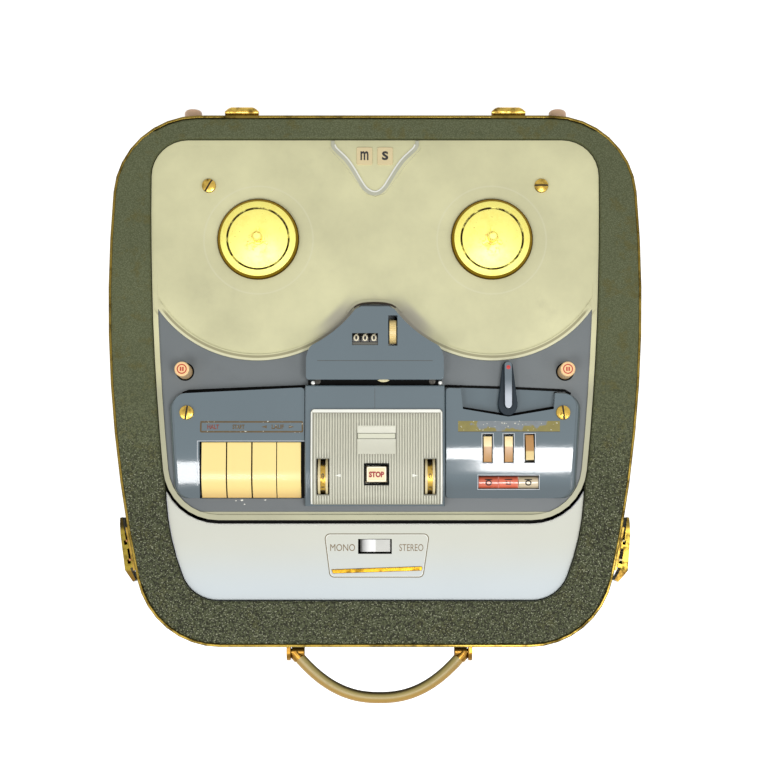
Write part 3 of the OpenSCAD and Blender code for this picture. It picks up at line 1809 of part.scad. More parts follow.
module transformer() {
  core_t = 34;
  color("#6f6a5c") translate(transformer_place) {
    translate([0, (transformer_size[1] - core_t) / 2, 0])
      cube([transformer_size[0], core_t, transformer_size[2]]);
    translate([transformer_size[0] / 5, 0, transformer_size[2] / 5])
      cube([transformer_size[0] * 3 / 5, transformer_size[1], transformer_size[2] * 3 / 5]);
  }
}

module amplifier() {
  stand_h = 13;
  stand_r = 4;
  board_t = 2;
  valve_shares = [[0.2, 0.3], [0.47, 0.63], [0.73, 0.3]];
  color("#7a6a3c") translate(amplifier_place) {
    translate([0, 0, stand_h]) cube([amplifier_size[0], amplifier_size[1], board_t]);
    for (x = [stand_r, amplifier_size[0] - stand_r])
      for (y = [stand_r, amplifier_size[1] - stand_r])
        translate([x, y, 0]) cylinder(r = stand_r, h = stand_h + board_t / 2);
    for (p = valve_shares)
      translate([p[0] * amplifier_size[0], p[1] * amplifier_size[1], stand_h + board_t / 2])
        cylinder(r = valve_r, h = valve_h);
  }
}

module loudspeaker() {
  rim_h = 4;
  neck_r = 0.4 * speaker_r;
  neck_h = 0.5 * speaker_h;
  color("#4c4a44") translate([speaker_x, speaker_y, wall_z])
    rotate_extrude()
      polygon([
        [0, neck_h - rim_h],
        [speaker_r - 2 * rim_h, 0],
        [speaker_r, 0],
        [speaker_r, rim_h],
        [neck_r, neck_h],
        [neck_r, speaker_h],
        [0, speaker_h]
      ]);
}

// Moulded socket panel in the back wall's opening, held by a flange
module socket_panel() {
  flange_t = 2;
  overlap = 6;
  face_y = case_back - wall_t;
  floor_y = face_y + 1;
  inlet = [24, 16];
  inlet_x = 45;
  pin_r = 2;
  din_places = [-55, -25, 5];
  color("#3b3a38") {
    difference() {
      union() {
        box(
          [-socket_w / 2 - overlap, face_y - flange_t, socket_z - socket_h / 2 - overlap],
          [socket_w / 2 + overlap, face_y, socket_z + socket_h / 2 + overlap]
        );
        box(
          [-socket_w / 2 + seat, face_y - cut, socket_z - socket_h / 2 + seat],
          [socket_w / 2 - seat, floor_y + din_depth, socket_z + socket_h / 2 - seat]
        );
      }
      for (x = din_places)
        translate([x, face_y - wall_t, socket_z]) rotate([-90, 0, 0]) cylinder(r = din_r, h = 3 * wall_t);
      box(
        [inlet_x - inlet[0] / 2, floor_y, socket_z - inlet[1] / 2],
        [inlet_x + inlet[0] / 2, floor_y + din_depth + cut, socket_z + inlet[1] / 2]
      );
    }
    for (side = [-1, 1])
      translate([inlet_x + side * inlet[0] / 4, floor_y - cut, socket_z])
        rotate([-90, 0, 0])
          cylinder(r = pin_r, h = din_depth);
  }
}

// Every piece is set so that the recorder is centred on the origin
module put() {
  translate([0, -middle_y, 0]) children();
}

put() case_walls();
put() top_frame();
put() edge_trim();
put() base_board();
put() feet();
put() base_screws();
put() lid_hinges();
put() latch_plates();
put() left_latch();
put() right_latch();
put() handle_brackets();
put() handle_grip();
put() deck_plate();
put() control_plate();
put() front_panel();
put() stereo_rocker();
put() deck_screws();
put() key_block();
put() halt_key();
put() start_key();
put() rewind_key();
put() forward_key();
put() key_axle();
put() selector_block();
put() speed_lever();
put() left_rocker();
put() middle_rocker();
put() right_rocker();
put() rocker_axle();
put() indicator_strip();
put() centre_block();
put() ribbed_cover();
put() eye_tube();
put() stop_button();
put() level_wheel();
put() tone_wheel();
put() wheel_pots();
put() head_cover();
put() counter_frame();
put() units_wheel();
put() tens_wheel();
put() hundreds_wheel();
put() reset_wheel();
put() left_button();
put() right_button();
put() supply_turntable();
put() takeup_turntable();
put() bearing_bushes();
put() chassis();
put() motor();
put() motor_pulley();
put() drive_belt();
put() flywheel();
put() pinch_arm();
put() pinch_roller();
put() tape_heads();
put() transformer();
put() amplifier();
put() loudspeaker();
put() socket_panel();
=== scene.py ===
"""Portable reel-to-reel tape recorder with its lid taken off, dressed over its CAD frame."""

import math

import bmesh
import bpy
from mathutils import Matrix, Vector


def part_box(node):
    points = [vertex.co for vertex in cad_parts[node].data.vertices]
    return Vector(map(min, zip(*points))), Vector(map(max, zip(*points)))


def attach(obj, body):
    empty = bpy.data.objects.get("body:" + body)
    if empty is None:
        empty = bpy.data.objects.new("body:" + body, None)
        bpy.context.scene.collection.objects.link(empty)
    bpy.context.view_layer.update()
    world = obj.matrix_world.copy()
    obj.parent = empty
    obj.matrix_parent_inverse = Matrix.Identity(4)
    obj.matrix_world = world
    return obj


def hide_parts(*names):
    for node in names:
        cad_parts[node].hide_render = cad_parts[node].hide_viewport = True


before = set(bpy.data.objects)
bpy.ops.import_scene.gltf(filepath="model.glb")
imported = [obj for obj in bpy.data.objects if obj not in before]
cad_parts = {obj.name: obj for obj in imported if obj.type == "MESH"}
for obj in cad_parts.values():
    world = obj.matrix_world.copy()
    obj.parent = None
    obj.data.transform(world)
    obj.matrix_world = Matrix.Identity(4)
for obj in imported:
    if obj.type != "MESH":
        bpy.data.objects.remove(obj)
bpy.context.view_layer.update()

# Case walls and base board: a plywood box, glued and screwed, covered outside with grey-green
# leatherette that is pressed with a pebble grain and turned in under the rim.

MM = 0.001
DECK_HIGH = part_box("deck_plate")[1]
DECK_BACK = 195
DECK_LIP = 1.5
FIXED = "recorder"


def on_deck(x, y, h=0.0):
    """Point given in millimetres from the deck's cross line and surface, in the row frame."""
    return Vector((x * MM, DECK_HIGH[1] + (y - DECK_BACK) * MM, DECK_HIGH[2] + (h - DECK_LIP) * MM))


def deck_y(y):
    return on_deck(0, y).y


def in_mm(point):
    """A point of the row frame in the deck's own millimetres."""
    return (point - on_deck(0, 0)) / MM


def shader_node(tree, kind, inputs=None, **settings):
    made = tree.nodes.new(kind)
    for label, value in settings.items():
        setattr(made, label, value)
    for label, value in (inputs or {}).items():
        if isinstance(value, bpy.types.NodeSocket):
            tree.links.new(value, made.inputs[label])
        else:
            made.inputs[label].default_value = value
    return made


def surface_group(name, inputs, outputs):
    """Empty shader group with named sockets, and its input and output nodes."""
    group = bpy.data.node_groups.new(name, "ShaderNodeTree")
    for label, kind, value in inputs:
        socket = group.interface.new_socket(label, in_out="INPUT", socket_type="NodeSocket" + kind)
        socket.default_value = value
    for label, kind in outputs:
        group.interface.new_socket(label, in_out="OUTPUT", socket_type="NodeSocket" + kind)
    return group, group.nodes.new("NodeGroupInput").outputs, group.nodes.new("NodeGroupOutput").inputs


def spread(tree, value, low, high, to_low, to_high):
    """A value carried from one range to another, with its ends held."""
    return shader_node(
        tree,
        "ShaderNodeMapRange",
        {"Value": value, "From Min": low, "From Max": high, "To Min": to_low, "To Max": to_high},
        interpolation_type="SMOOTHSTEP",
    ).outputs["Result"]


def mixed(tree, factor, first, second):
    return shader_node(tree, "ShaderNodeMix", {0: factor, 6: first, 7: second}, data_type="RGBA").outputs[2]


def worked(tree, operation, *values):
    """Result of one arithmetic step in a shader."""
    return shader_node(tree, "ShaderNodeMath", dict(enumerate(values)), operation=operation).outputs[0]


def object_place(tree):
    return shader_node(tree, "ShaderNodeTexCoord").outputs["Object"]


def placed(tree, axis):
    """One coordinate of the shaded point."""
    return shader_node(tree, "ShaderNodeSeparateXYZ", {"Vector": object_place(tree)}).outputs[axis]


def noise(tree, place, size, detail=4.0, rough=0.55):
    return shader_node(
        tree,
        "ShaderNodeTexNoise",
        {"Vector": place, "Scale": size, "Detail": detail, "Roughness": rough},
    ).outputs["Fac"]


def use_group(tree, group, **inputs):
    return shader_node(tree, "ShaderNodeGroup", inputs, node_tree=group).outputs


def new_finish(name):
    finish = bpy.data.materials.new(name)
    finish.use_nodes = True
    return finish, finish.node_tree, finish.node_tree.nodes["Principled BSDF"]


def lay_surface(tree, skin, tone, roughness, strength=0.0, distance=0.0, height=None):
    """Give the shader its colour and roughness, and a bump where there is one."""
    tree.links.new(tone, skin.inputs["Base Color"])
    tree.links.new(roughness, skin.inputs["Roughness"])
    if height is not None:
        values = {"Strength": strength, "Distance": distance, "Height": height}
        bump = shader_node(tree, "ShaderNodeBump", values)
        tree.links.new(bump.outputs["Normal"], skin.inputs["Normal"])


def linear(r, g, b):
    """Colour given as it looks, from 0 to 255, as the shader counts it."""
    part = [v / 255 / 12.92 if v <= 10 else ((v / 255 + 0.055) / 1.055) ** 2.4 for v in (r, g, b)]
    return (*part, 1.0)


cloudy_colour, given, put_out = surface_group(
    "cloudy_colour",
    [("Colour", "Color", (0.5, 0.5, 0.5, 1)), ("Strength", "Float", 0.1), ("Size", "Float", 20.0)],
    [("Colour", "Color")],
)
clouds = noise(cloudy_colour, object_place(cloudy_colour), given["Size"], 5.0, 0.6)
clouds = worked(cloudy_colour, "SUBTRACT", clouds, 0.5)
clouds = worked(cloudy_colour, "MULTIPLY_ADD", clouds, given["Strength"], 1.0)
shaded = shader_node(cloudy_colour, "ShaderNodeHueSaturation", {"Value": clouds, "Color": given["Colour"]})
cloudy_colour.links.new(shaded.outputs["Color"], put_out["Colour"])


def clouded(tree, colour, strength, size):
    return use_group(tree, cloudy_colour, Colour=colour, Strength=strength, Size=size)["Colour"]


leather_pebbles, given, put_out = surface_group(
    "leather_pebbles", [("Grain", "Float", 500.0)], [("Height", "Float"), ("Crest", "Float")]
)
place = object_place(leather_pebbles)
bent = shader_node(leather_pebbles, "ShaderNodeTexNoise", {"Vector": place, "Scale": 420.0, "Detail": 2.0})
bent = shader_node(
    leather_pebbles,
    "ShaderNodeVectorMath",
    {0: bent.outputs["Color"], 1: (0.001, 0.001, 0.001), 2: place},
    operation="MULTIPLY_ADD",
).outputs[0]
cells = shader_node(
    leather_pebbles,
    "ShaderNodeTexVoronoi",
    {"Vector": bent, "Scale": given["Grain"], "Smoothness": 0.45, "Randomness": 1.0},
    feature="SMOOTH_F1",
).outputs["Distance"]
pebble = spread(leather_pebbles, cells, 0.08, 0.62, 1.0, 0.0)
fine = noise(leather_pebbles, place, 1900.0, 3.0)
raised = worked(leather_pebbles, "MULTIPLY_ADD", fine, 0.35, pebble)
leather_pebbles.links.new(raised, put_out["Height"])
leather_pebbles.links.new(spread(leather_pebbles, cells, 0.2, 0.72, 1.0, 0.0), put_out["Crest"])


def leatherette(name, valley, crest, grain):
    """Pressed grain with smoother crests, painted shade in the crevices and over the front, and painted
    glints towards the front.
    """
    finish, tree, skin = new_finish(name)
    place_of = object_place(tree)
    pebbles = use_group(tree, leather_pebbles, Grain=grain)
    front = spread(tree, placed(tree, "Y"), deck_y(60), deck_y(-130), 0.0, 1.0)
    tone = mixed(tree, pebbles["Crest"], valley, crest)
    tone = clouded(tree, tone, 0.5, 9.0)
    olive = spread(tree, noise(tree, place_of, 70.0, 6.0, 0.7), 0.5, 0.66, 0.0, 0.5)
    tone = mixed(tree, olive, tone, linear(92, 86, 38))
    # Painted shade: darker towards the front.
    tone = mixed(tree, spread(tree, front, 0.4, 1.0, 0.0, 0.6), tone, linear(54, 58, 36))
    # Painted shade in the crevices, strongest at the front.
    crevice_shade = spread(tree, noise(tree, place_of, 560.0, 1.0), 0.44, 0.52, 0.9, 0.0)
    tone = mixed(tree, worked(tree, "MULTIPLY", crevice_shade, front), tone, linear(30, 31, 14))
    # Painted glints: pale specks, more of them towards the front.
    glint = spread(tree, noise(tree, place_of, 900.0, 1.0), 0.61, 0.67, 0.0, 1.0)
    shine = spread(tree, front, 0.2, 1.0, 0.0, 0.6)
    tone = mixed(tree, worked(tree, "MULTIPLY", glint, shine), tone, linear(178, 180, 152))
    polish = spread(tree, pebbles["Crest"], 0.0, 1.0, 0.66, 0.42)
    lay_surface(tree, skin, tone, polish, 0.6, 0.0005, pebbles["Height"])
    skin.inputs["Specular IOR Level"].default_value = 0.22
    return finish


def cad_mesh(node, bend=None):
    """Copy of a CAD node's triangles with their points joined and flat faces made whole."""
    soft = bmesh.new()
    soft.from_mesh(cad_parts[node].data)
    bmesh.ops.remove_doubles(soft, verts=soft.verts, dist=0.005 * MM)
    if bend:
        bend(soft)
    bmesh.ops.dissolve_limit(soft, angle_limit=math.radians(0.6), verts=soft.verts, edges=soft.edges)
    return soft


def middle(edge):
    """Middle of an edge in the deck's own millimetres."""
    return in_mm((edge.verts[0].co + edge.verts[1].co) / 2)


def round_edges(soft, radius, chosen, steps=3):
    """Round the outer edges that are chosen by their middle point."""
    sharp = []
    for edge in soft.edges:
        if len(edge.link_faces) == 2 and edge.is_convex and edge.calc_face_angle() > math.radians(28):
            if chosen is None or chosen(middle(edge), edge):
                sharp.append(edge)
    bmesh.ops.bevel(
        soft,
        geom=sharp,
        offset=radius * MM,
        offset_type="OFFSET",
        segments=steps,
        profile=0.5,
        affect="EDGES",
        clamp_overlap=True,
    )


def add_object(name, data):
    made = bpy.data.objects.new(name, data)
    bpy.context.scene.collection.objects.link(made)
    return made


def plain_mesh(holder):
    """Mesh of an object with its modifiers applied; the object is used up."""
    mesh = bpy.data.meshes.new_from_object(holder.evaluated_get(bpy.context.evaluated_depsgraph_get()))
    bpy.data.objects.remove(holder)
    return mesh


def rounded_mesh(soft, angle):
    """Mesh of a form that is used up, smooth but for edges sharper than an angle."""
    mesh = bpy.data.meshes.new("form")
    soft.to_mesh(mesh)
    soft.free()
    for face in mesh.polygons:
        face.use_smooth = True
    mesh.set_sharp_from_angle(angle=math.radians(angle))
    return mesh


def smooth_mesh(soft, angle=32):
    """Plain mesh with smooth rounds and level flats."""
    mesh = rounded_mesh(soft, angle)
    holder = add_object("form", mesh)
    levelled = holder.modifiers.new("level_flats", "WEIGHTED_NORMAL")
    levelled.keep_sharp = True
    plain = plain_mesh(holder)
    bpy.data.meshes.remove(mesh)
    return plain


def set_piece(mesh, name, finishes, body, slot, *stands_for):
    """Finished piece of the recorder that rides its body."""
    piece = add_object(name, mesh)
    mesh.name = name
    mesh.materials.clear()
    for finish in finishes if isinstance(finishes, list) else [finishes]:
        mesh.materials.append(finish)
    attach(piece, body)
    if stands_for:
        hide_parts(*stands_for)
    return piece


def soft_piece(node, passes, finish, body, slot, reshape=None, bend=None):
    """Softened copy of a CAD node that stands for it; passes are pairs of radius and chosen edges."""
    soft = cad_mesh(node, bend)
    for radius, chosen, *steps in passes:
        round_edges(soft, radius, chosen, *steps)
    if reshape:
        bmesh.ops.transform(soft, matrix=reshape, verts=soft.verts)
    return set_piece(smooth_mesh(soft), node + "_soft", finish, body, slot, node)


def dress(finish, *nodes):
    """CAD nodes that keep their shape and take a finish."""
    for node in nodes:
        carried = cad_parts[node]
        if not carried.material_slots:
            carried.data.materials.append(finish)
        for place_of in carried.material_slots:
            place_of.material = finish


case_leather = leatherette("case_leatherette", linear(82, 88, 63), linear(101, 107, 78), 900.0)
dress(case_leather, "case_walls")
soft_piece("base_board", [(1.6, None)], case_leather, FIXED, "plywood")

# Stud feet under the base and on the back: tan moulded studs, each pressed over a wood screw.
# The base board's own countersunk steel screws stand between them.

handling_marks, given, put_out = surface_group(
    "handling_marks",
    [("Size", "Float", 14.0), ("Amount", "Float", 0.4)],
    [("Smudge", "Float"), ("Scratch", "Float")],
)
place = object_place(handling_marks)
smudge = spread(handling_marks, noise(handling_marks, place, given["Size"], 6.0, 0.68), 0.5, 0.78, 0.0, 1.0)
drawn = shader_node(
    handling_marks,
    "ShaderNodeMapping",
    {"Vector": place, "Rotation": (0, 0, 0.6), "Scale": (40.0, 1100.0, 40.0)},
).outputs[0]
line = spread(handling_marks, noise(handling_marks, drawn, 1.0, 3.0), 0.69, 0.74, 0.0, 1.0)
handling_marks.links.new(worked(handling_marks, "MULTIPLY", smudge, given["Amount"]), put_out["Smudge"])
handling_marks.links.new(worked(handling_marks, "MULTIPLY", line, given["Amount"]), put_out["Scratch"])


def moulded(name, colour, roughness, cloud=0.12, size=18.0, marks=0.35, coat=0.0, shade=0.0, specular=0.5):
    """Moulded plastic: faint clouds, handling smudges, hair scratches and a slight orange peel; a given
    shade paints it darker towards the front as shade.
    """
    finish, tree, skin = new_finish(name)
    worn = use_group(tree, handling_marks, Size=size * 1.7, Amount=marks)
    tone = clouded(tree, colour, cloud, size)
    dust_and_shade_tone = tuple(min(1.0, c * 0.62 + 0.01) for c in colour[:3]) + (1.0,)
    pale = tuple(min(1.0, c * 1.2 + 0.05) for c in colour[:3]) + (1.0,)
    tone = mixed(tree, spread(tree, worn["Smudge"], 0.0, 1.0, 0.0, 0.5), tone, dust_and_shade_tone)
    tone = mixed(tree, spread(tree, worn["Scratch"], 0.0, 1.0, 0.0, 0.6), tone, pale)
    # Painted shade: darker towards the front, by the given share.
    if shade:
        front = spread(tree, placed(tree, "Y"), deck_y(-74), deck_y(-86), 0.0, shade)
        tone = mixed(tree, front, tone, dust_and_shade_tone)
    dulled = spread(tree, worn["Smudge"], 0.0, 1.0, roughness, min(1.0, roughness + 0.3))
    lay_surface(tree, skin, tone, dulled, 0.25, 0.00008, noise(tree, object_place(tree), 420.0, 2.0))
    skin.inputs["Coat Weight"].default_value = coat
    skin.inputs["Coat Roughness"].default_value = 0.06
    skin.inputs["Specular IOR Level"].default_value = specular
    return finish


stud_tan = moulded("stud_tan", linear(255, 214, 178), 0.42, cloud=0.3, size=60.0)
dress(stud_tan, "feet")

metal_patina, given, put_out = surface_group(
    "metal_patina",
    [
        ("Bright", "Color", (0.8, 0.7, 0.4, 1)),
        ("Dark", "Color", (0.3, 0.2, 0.05, 1)),
        ("Amount", "Float", 0.4),
        ("Size", "Float", 60.0),
    ],
    [("Colour", "Color"), ("Tarnish", "Float")],
)
place = object_place(metal_patina)
tarnish = spread(metal_patina, noise(metal_patina, place, given["Size"], 6.0, 0.7), 0.42, 0.7, 0.0, 1.0)
tarnish = worked(metal_patina, "MULTIPLY", tarnish, given["Amount"])
metal_patina.links.new(mixed(metal_patina, tarnish, given["Bright"], given["Dark"]), put_out["Colour"])
metal_patina.links.new(tarnish, put_out["Tarnish"])


def plated(name, bright, dark, amount, size, polish, dull):
    """Metal with tarnish in patches and fine rubbing marks."""
    finish, tree, skin = new_finish(name)
    aged = use_group(tree, metal_patina, Bright=bright, Dark=dark, Amount=amount, Size=size)
    rub_and_highlight = shader_node(
        tree, "ShaderNodeMapping", {"Vector": object_place(tree), "Scale": (900.0, 60.0, 300.0)}
    ).outputs[0]
    dulled = spread(tree, aged["Tarnish"], 0.0, 1.0, polish, dull)
    lay_surface(tree, skin, aged["Colour"], dulled, 0.2, 0.00005, noise(tree, rub_and_highlight, 1.0, 2.0))
    skin.inputs["Metallic"].default_value = 1.0
    return finish


plain_steel = plated("plated_steel", linear(176, 175, 168), linear(105, 98, 84), 0.5, 70.0, 0.3, 0.55)
dress(plain_steel, "base_screws")

# Top frame: a plywood ring round the deck under the same leatherette, which rolls over
# the ring's inner edge down to the deck and the front panel.

frame_leather = leatherette("frame_leatherette", linear(83, 88, 61), linear(102, 107, 77), 900.0)
frame_edges = [(1.8, lambda p, e: p.z > 3 and abs(p.x) < 181)]
soft_piece("top_frame", frame_edges, frame_leather, FIXED, "leatherette")

# Edge trim: a drawn brass strip bent round the rim and nailed on, where the lid meets the case.
# Its lacquer has worn through in places.

trim_brass = plated("trim_brass", linear(128, 108, 48), linear(56, 44, 16), 1.0, 70.0, 0.3, 0.5)
soft_piece("edge_trim", [(0.7, lambda p, e: p.z > 4)], trim_brass, FIXED, "worn_brass")

# Lid hinges: two brass knuckles with their leaves screwed to the back wall; the lid's pins
# slide in from the side and lift off with it.

HINGE_X = 107
hinge_brass = plated("hinge_brass", linear(206, 172, 82), linear(74, 54, 18), 0.95, 150.0, 0.24, 0.45)


def loaf_ends(soft):
    """Round the knuckles off towards their ends."""
    for side in (-1, 1):
        for reach in (-12.8, -11.6, -10.2, -8.5, 8.5, 10.2, 11.6, 12.8):
            cut_at = on_deck(side * HINGE_X + reach, 0)
            whole = soft.verts[:] + soft.edges[:] + soft.faces[:]
            bmesh.ops.bisect_plane(soft, geom=whole, plane_co=cut_at, plane_no=(1, 0, 0))
    for vertex in soft.verts:
        p = in_mm(vertex.co)
        out = max(0.0, (abs(abs(p.x) - HINGE_X) - 7.5) / 6)
        if p.y > 216.2 and p.z > -5:
            vertex.co.y -= (p.y - 216.2) * 0.62 * out**2 * MM


soft_piece("lid_hinges", [], hinge_brass, FIXED, "brass", bend=loaf_ends)


def outward_mesh(form, angle):
    bmesh.ops.recalc_face_normals(form, faces=form.faces)
    return smooth_mesh(form, angle)


def join_meshes(meshes):
    """One mesh out of several, which are used up."""
    whole = bmesh.new()
    for part in meshes:
        whole.from_mesh(part)
        bpy.data.meshes.remove(part)
    joined = bpy.data.meshes.new("joined")
    whole.to_mesh(joined)
    whole.free()
    return joined


def turned_mesh(profile, steps=24):
    """Solid turned about Z from a profile of radius and height in millimetres, lowest first."""
    turned = bmesh.new()
    rings = []
    for radius, height in profile:
        if radius == 0:
            rings.append([turned.verts.new((0, 0, height * MM))])
        else:
            spin = [2 * math.pi * i / steps for i in range(steps)]
            ring = [(radius * math.cos(a) * MM, radius * math.sin(a) * MM, height * MM) for a in spin]
            rings.append([turned.verts.new(point) for point in ring])
    for low, high in zip(rings, rings[1:]):
        for i in range(steps):
            j = (i + 1) % steps
            if len(low) == 1:
                turned.faces.new((low[0], high[j], high[i]))
            elif len(high) == 1:
                turned.faces.new((low[i], low[j], high[0]))
            else:
                turned.faces.new((low[i], low[j], high[j], high[i]))
    return outward_mesh(turned, 40)


def placing_tree():
    """Geometry nodes that set one small piece at the points of a straight row."""
    tree = bpy.data.node_groups.new("row_of_pieces", "GeometryNodeTree")
    sockets = tree.interface
    wanted = {"Piece": "Object", "Count": "Int", "Start": "Vector", "Step": "Vector", "Finish": "Material"}
    for label, kind in wanted.items():
        sockets.new_socket(label, in_out="INPUT", socket_type="NodeSocket" + kind)
    sockets.new_socket("Row", in_out="OUTPUT", socket_type="NodeSocketGeometry")
    inlet = tree.nodes.new("NodeGroupInput")
    outlet = tree.nodes.new("NodeGroupOutput")
    line_of = tree.nodes.new("GeometryNodeMeshLine")
    piece = tree.nodes.new("GeometryNodeObjectInfo")
    copies = tree.nodes.new("GeometryNodeInstanceOnPoints")
    real = tree.nodes.new("GeometryNodeRealizeInstances")
    painted = tree.nodes.new("GeometryNodeSetMaterial")
    links = tree.links
    links.new(inlet.outputs["Count"], line_of.inputs["Count"])
    links.new(inlet.outputs["Start"], line_of.inputs["Start Location"])
    links.new(inlet.outputs["Step"], line_of.inputs["Offset"])
    links.new(inlet.outputs["Piece"], piece.inputs["Object"])
    links.new(line_of.outputs["Mesh"], copies.inputs["Points"])
    links.new(piece.outputs["Geometry"], copies.inputs["Instance"])
    links.new(copies.outputs["Instances"], real.inputs["Geometry"])
    links.new(real.outputs["Geometry"], painted.inputs["Geometry"])
    links.new(inlet.outputs["Finish"], painted.inputs["Material"])
    links.new(painted.outputs["Geometry"], outlet.inputs["Row"])
    return tree


row_of_pieces = placing_tree()


def row_mesh(piece_mesh, count, start, step, finish):
    """Plain mesh of one piece repeated along a row; start and step are in metres."""
    pattern = add_object("row_pattern", piece_mesh)
    holder = add_object("row", bpy.data.meshes.new("row"))
    rows = holder.modifiers.new("row", "NODES")
    rows.node_group = row_of_pieces
    values = {"Piece": pattern, "Count": count, "Start": start, "Step": step, "Finish": finish}
    for socket in row_of_pieces.interface.items_tree:
        if socket.in_out == "INPUT":
            rows[socket.identifier] = values[socket.name]
    result = plain_mesh(holder)
    bpy.data.objects.remove(pattern)
    return result


screw_head = turned_mesh([(2.3, 0), (2.3, 0.35), (1.6, 0.85), (0.0, 1.0)], 16)
screw_head.transform(Matrix.Rotation(-math.pi / 2, 4, "X"))
hinge_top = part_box("lid_hinges")[1][2]
leaf_y = DECK_HIGH[1] + (214.4 + 1.6 - DECK_BACK) * MM
screw_step = Vector((16 * MM, 0, 0))
screw_rows = []
for side in (-1, 1):
    for drop in (11, 19):
        start = Vector(((side * HINGE_X - 8) * MM, leaf_y, hinge_top - drop * MM))
        screw_rows.append(row_mesh(screw_head, 2, start, screw_step, hinge_brass))
set_piece(join_meshes(screw_rows), "hinge_screws", hinge_brass, FIXED, "brass")

# Side latches: pressed brass plates let into the leatherette, each with a bowed lever on a pin.
# The lever's two tabs hook the lid's edge.

LATCH_FOOT = Vector((190.3, -131.0))
LATCH_TURN = math.radians(-11.48)
LATCH_LEAN = {"left_latch": (0.5, 0.76), "right_latch": (0.45, 1.0)}


def facing(tree, axis):
    """One part of the surface's outward direction."""
    outward = shader_node(tree, "ShaderNodeNewGeometry").outputs["Normal"]
    return shader_node(tree, "ShaderNodeSeparateXYZ", {"Vector": outward}).outputs[axis]


def rectangle(low_x, low_y, high_x, high_y):
    return [Vector(p) for p in ((low_x, low_y), (high_x, low_y), (high_x, high_y), (low_x, high_y))]


def plate_mesh(outline, low, high, soften=0.0):
    """Flat plate over an outline on the deck, with its upper edge softened."""
    plate = bmesh.new()
    ring = [plate.verts.new(on_deck(p[0], p[1], low)) for p in outline]
    base = plate.faces.new(ring)
    raised = bmesh.ops.extrude_face_region(plate, geom=[base])["geom"]
    lifted = [v for v in raised if isinstance(v, bmesh.types.BMVert)]
    bmesh.ops.translate(plate, verts=lifted, vec=(0, 0, (high - low) * MM))
    bmesh.ops.recalc_face_normals(plate, faces=plate.faces)
    if soften:
        top = [e for e in plate.edges if all(v in lifted for v in e.verts)]
        bmesh.ops.bevel(plate, geom=top, offset=soften * MM, segments=3, profile=0.5, affect="EDGES")
    return smooth_mesh(plate, 35)


def latch_finish(name, bright):
    """Worn brass, black towards the back end and browned at the front one, with painted shade on its sides.
    """
    finish, tree, skin = new_finish(name)
    aged = use_group(tree, metal_patina, Bright=bright, Dark=linear(46, 33, 10), Amount=1.0, Size=110.0)
    forward = placed(tree, "Y")
    back_darkening = spread(tree, forward, deck_y(-118), deck_y(-113), 0.0, 0.85)
    tone = mixed(tree, back_darkening, aged["Colour"], linear(34, 26, 12))
    browned = spread(tree, forward, deck_y(-149), deck_y(-147), 0.7, 0.0)
    tone = mixed(tree, browned, tone, linear(84, 56, 26))
    # Painted shade on the faces that do not face up.
    latch_side_shade = spread(tree, facing(tree, "Z"), 0.3, 0.9, 0.8, 0.0)
    tone = mixed(tree, latch_side_shade, tone, linear(36, 26, 10))
    lay_surface(tree, skin, tone, spread(tree, aged["Tarnish"], 0.0, 1.0, 0.3, 0.5))
    skin.inputs["Metallic"].default_value = 1.0
    return finish


def lean_on_side(side, back_share, front_share):
    """Bend that lays a lever closer to the case side, most of all at its back end."""
    def bend(soft):
        for vertex in soft.verts:
            p = in_mm(vertex.co)
            own = Matrix.Rotation(-LATCH_TURN, 2) @ (Vector((side * p.x, p.y)) - LATCH_FOOT)
            share_of = min(1.0, max(0.0, (own.y + 5) / 30))
            own.x *= front_share + (back_share - front_share) * share_of
            at = LATCH_FOOT + Matrix.Rotation(LATCH_TURN, 2) @ own
            vertex.co = on_deck(side * at.x, at.y, p.z)
    return bend


plate_brass = plated("latch_plate_brass", linear(150, 122, 56), linear(56, 42, 18), 1.0, 80.0, 0.3, 0.5)
dress(plate_brass, "latch_plates")
# The left lever's brass is painted darker as shade and the right one's lighter as lit.
for latch, side, bright, tab_tone in (
    ("left_latch", -1, linear(129, 112, 45), linear(196, 129, 76)),
    ("right_latch", 1, linear(169, 143, 60), linear(212, 194, 129)),
):
    brass = latch_finish(latch + "_brass", bright)
    leaned = lean_on_side(side, *LATCH_LEAN[latch])
    soft_piece(latch, [(0.5, lambda p, e: p.z > -20)], brass, latch, "worn_brass", bend=leaned)
    tabs = []
    for along in (5.5, -9.5):
        spot = rectangle(1.9, along - 2.1, 5.2, along + 2.1)
        spot = [LATCH_FOOT + Matrix.Rotation(LATCH_TURN, 2) @ p for p in spot]
        tabs.append(plate_mesh([Vector((side * p.x, p.y)) for p in spot], -2.0, 2.0, 0.4))
    tab_brass = moulded(latch + "_tab_brass", tab_tone, 0.35, cloud=0.4, size=90.0)
    set_piece(join_meshes(tabs), latch + "_tabs", tab_brass, latch, "worn_brass")

# Carrying handle: a steel strap inside an olive moulded tube, bent to a bow, with folded brass
# caps at its ends that turn on pins in two brass brackets on the front wall.

HANDLE_X = 3.4
HANDLE_HALF = 69
HANDLE_Y = -214.5
HANDLE_H = -58
BOW_DEPTH = 36.9
BOW_SWELL = 2.3
GRIP_R = 4.75
LUG_X = 70


def thin_lugs(soft):
    """Draw the brackets' outer faces in, so that they are hardly wider than the handle's ends."""
    for vertex in soft.verts:
        x = in_mm(vertex.co).x - HANDLE_X
        if abs(x) > LUG_X:
            vertex.co.x = (HANDLE_X + math.copysign(LUG_X + (abs(x) - LUG_X) * 0.4, x)) * MM


bracket_brass = plated("bracket_brass", linear(142, 105, 44), linear(62, 42, 16), 1.0, 120.0, 0.3, 0.5)
bracket_edges = [(0.7, lambda p, e: p.y < -208)]
soft_piece("handle_brackets", bracket_edges, bracket_brass, FIXED, "brass", bend=thin_lugs)


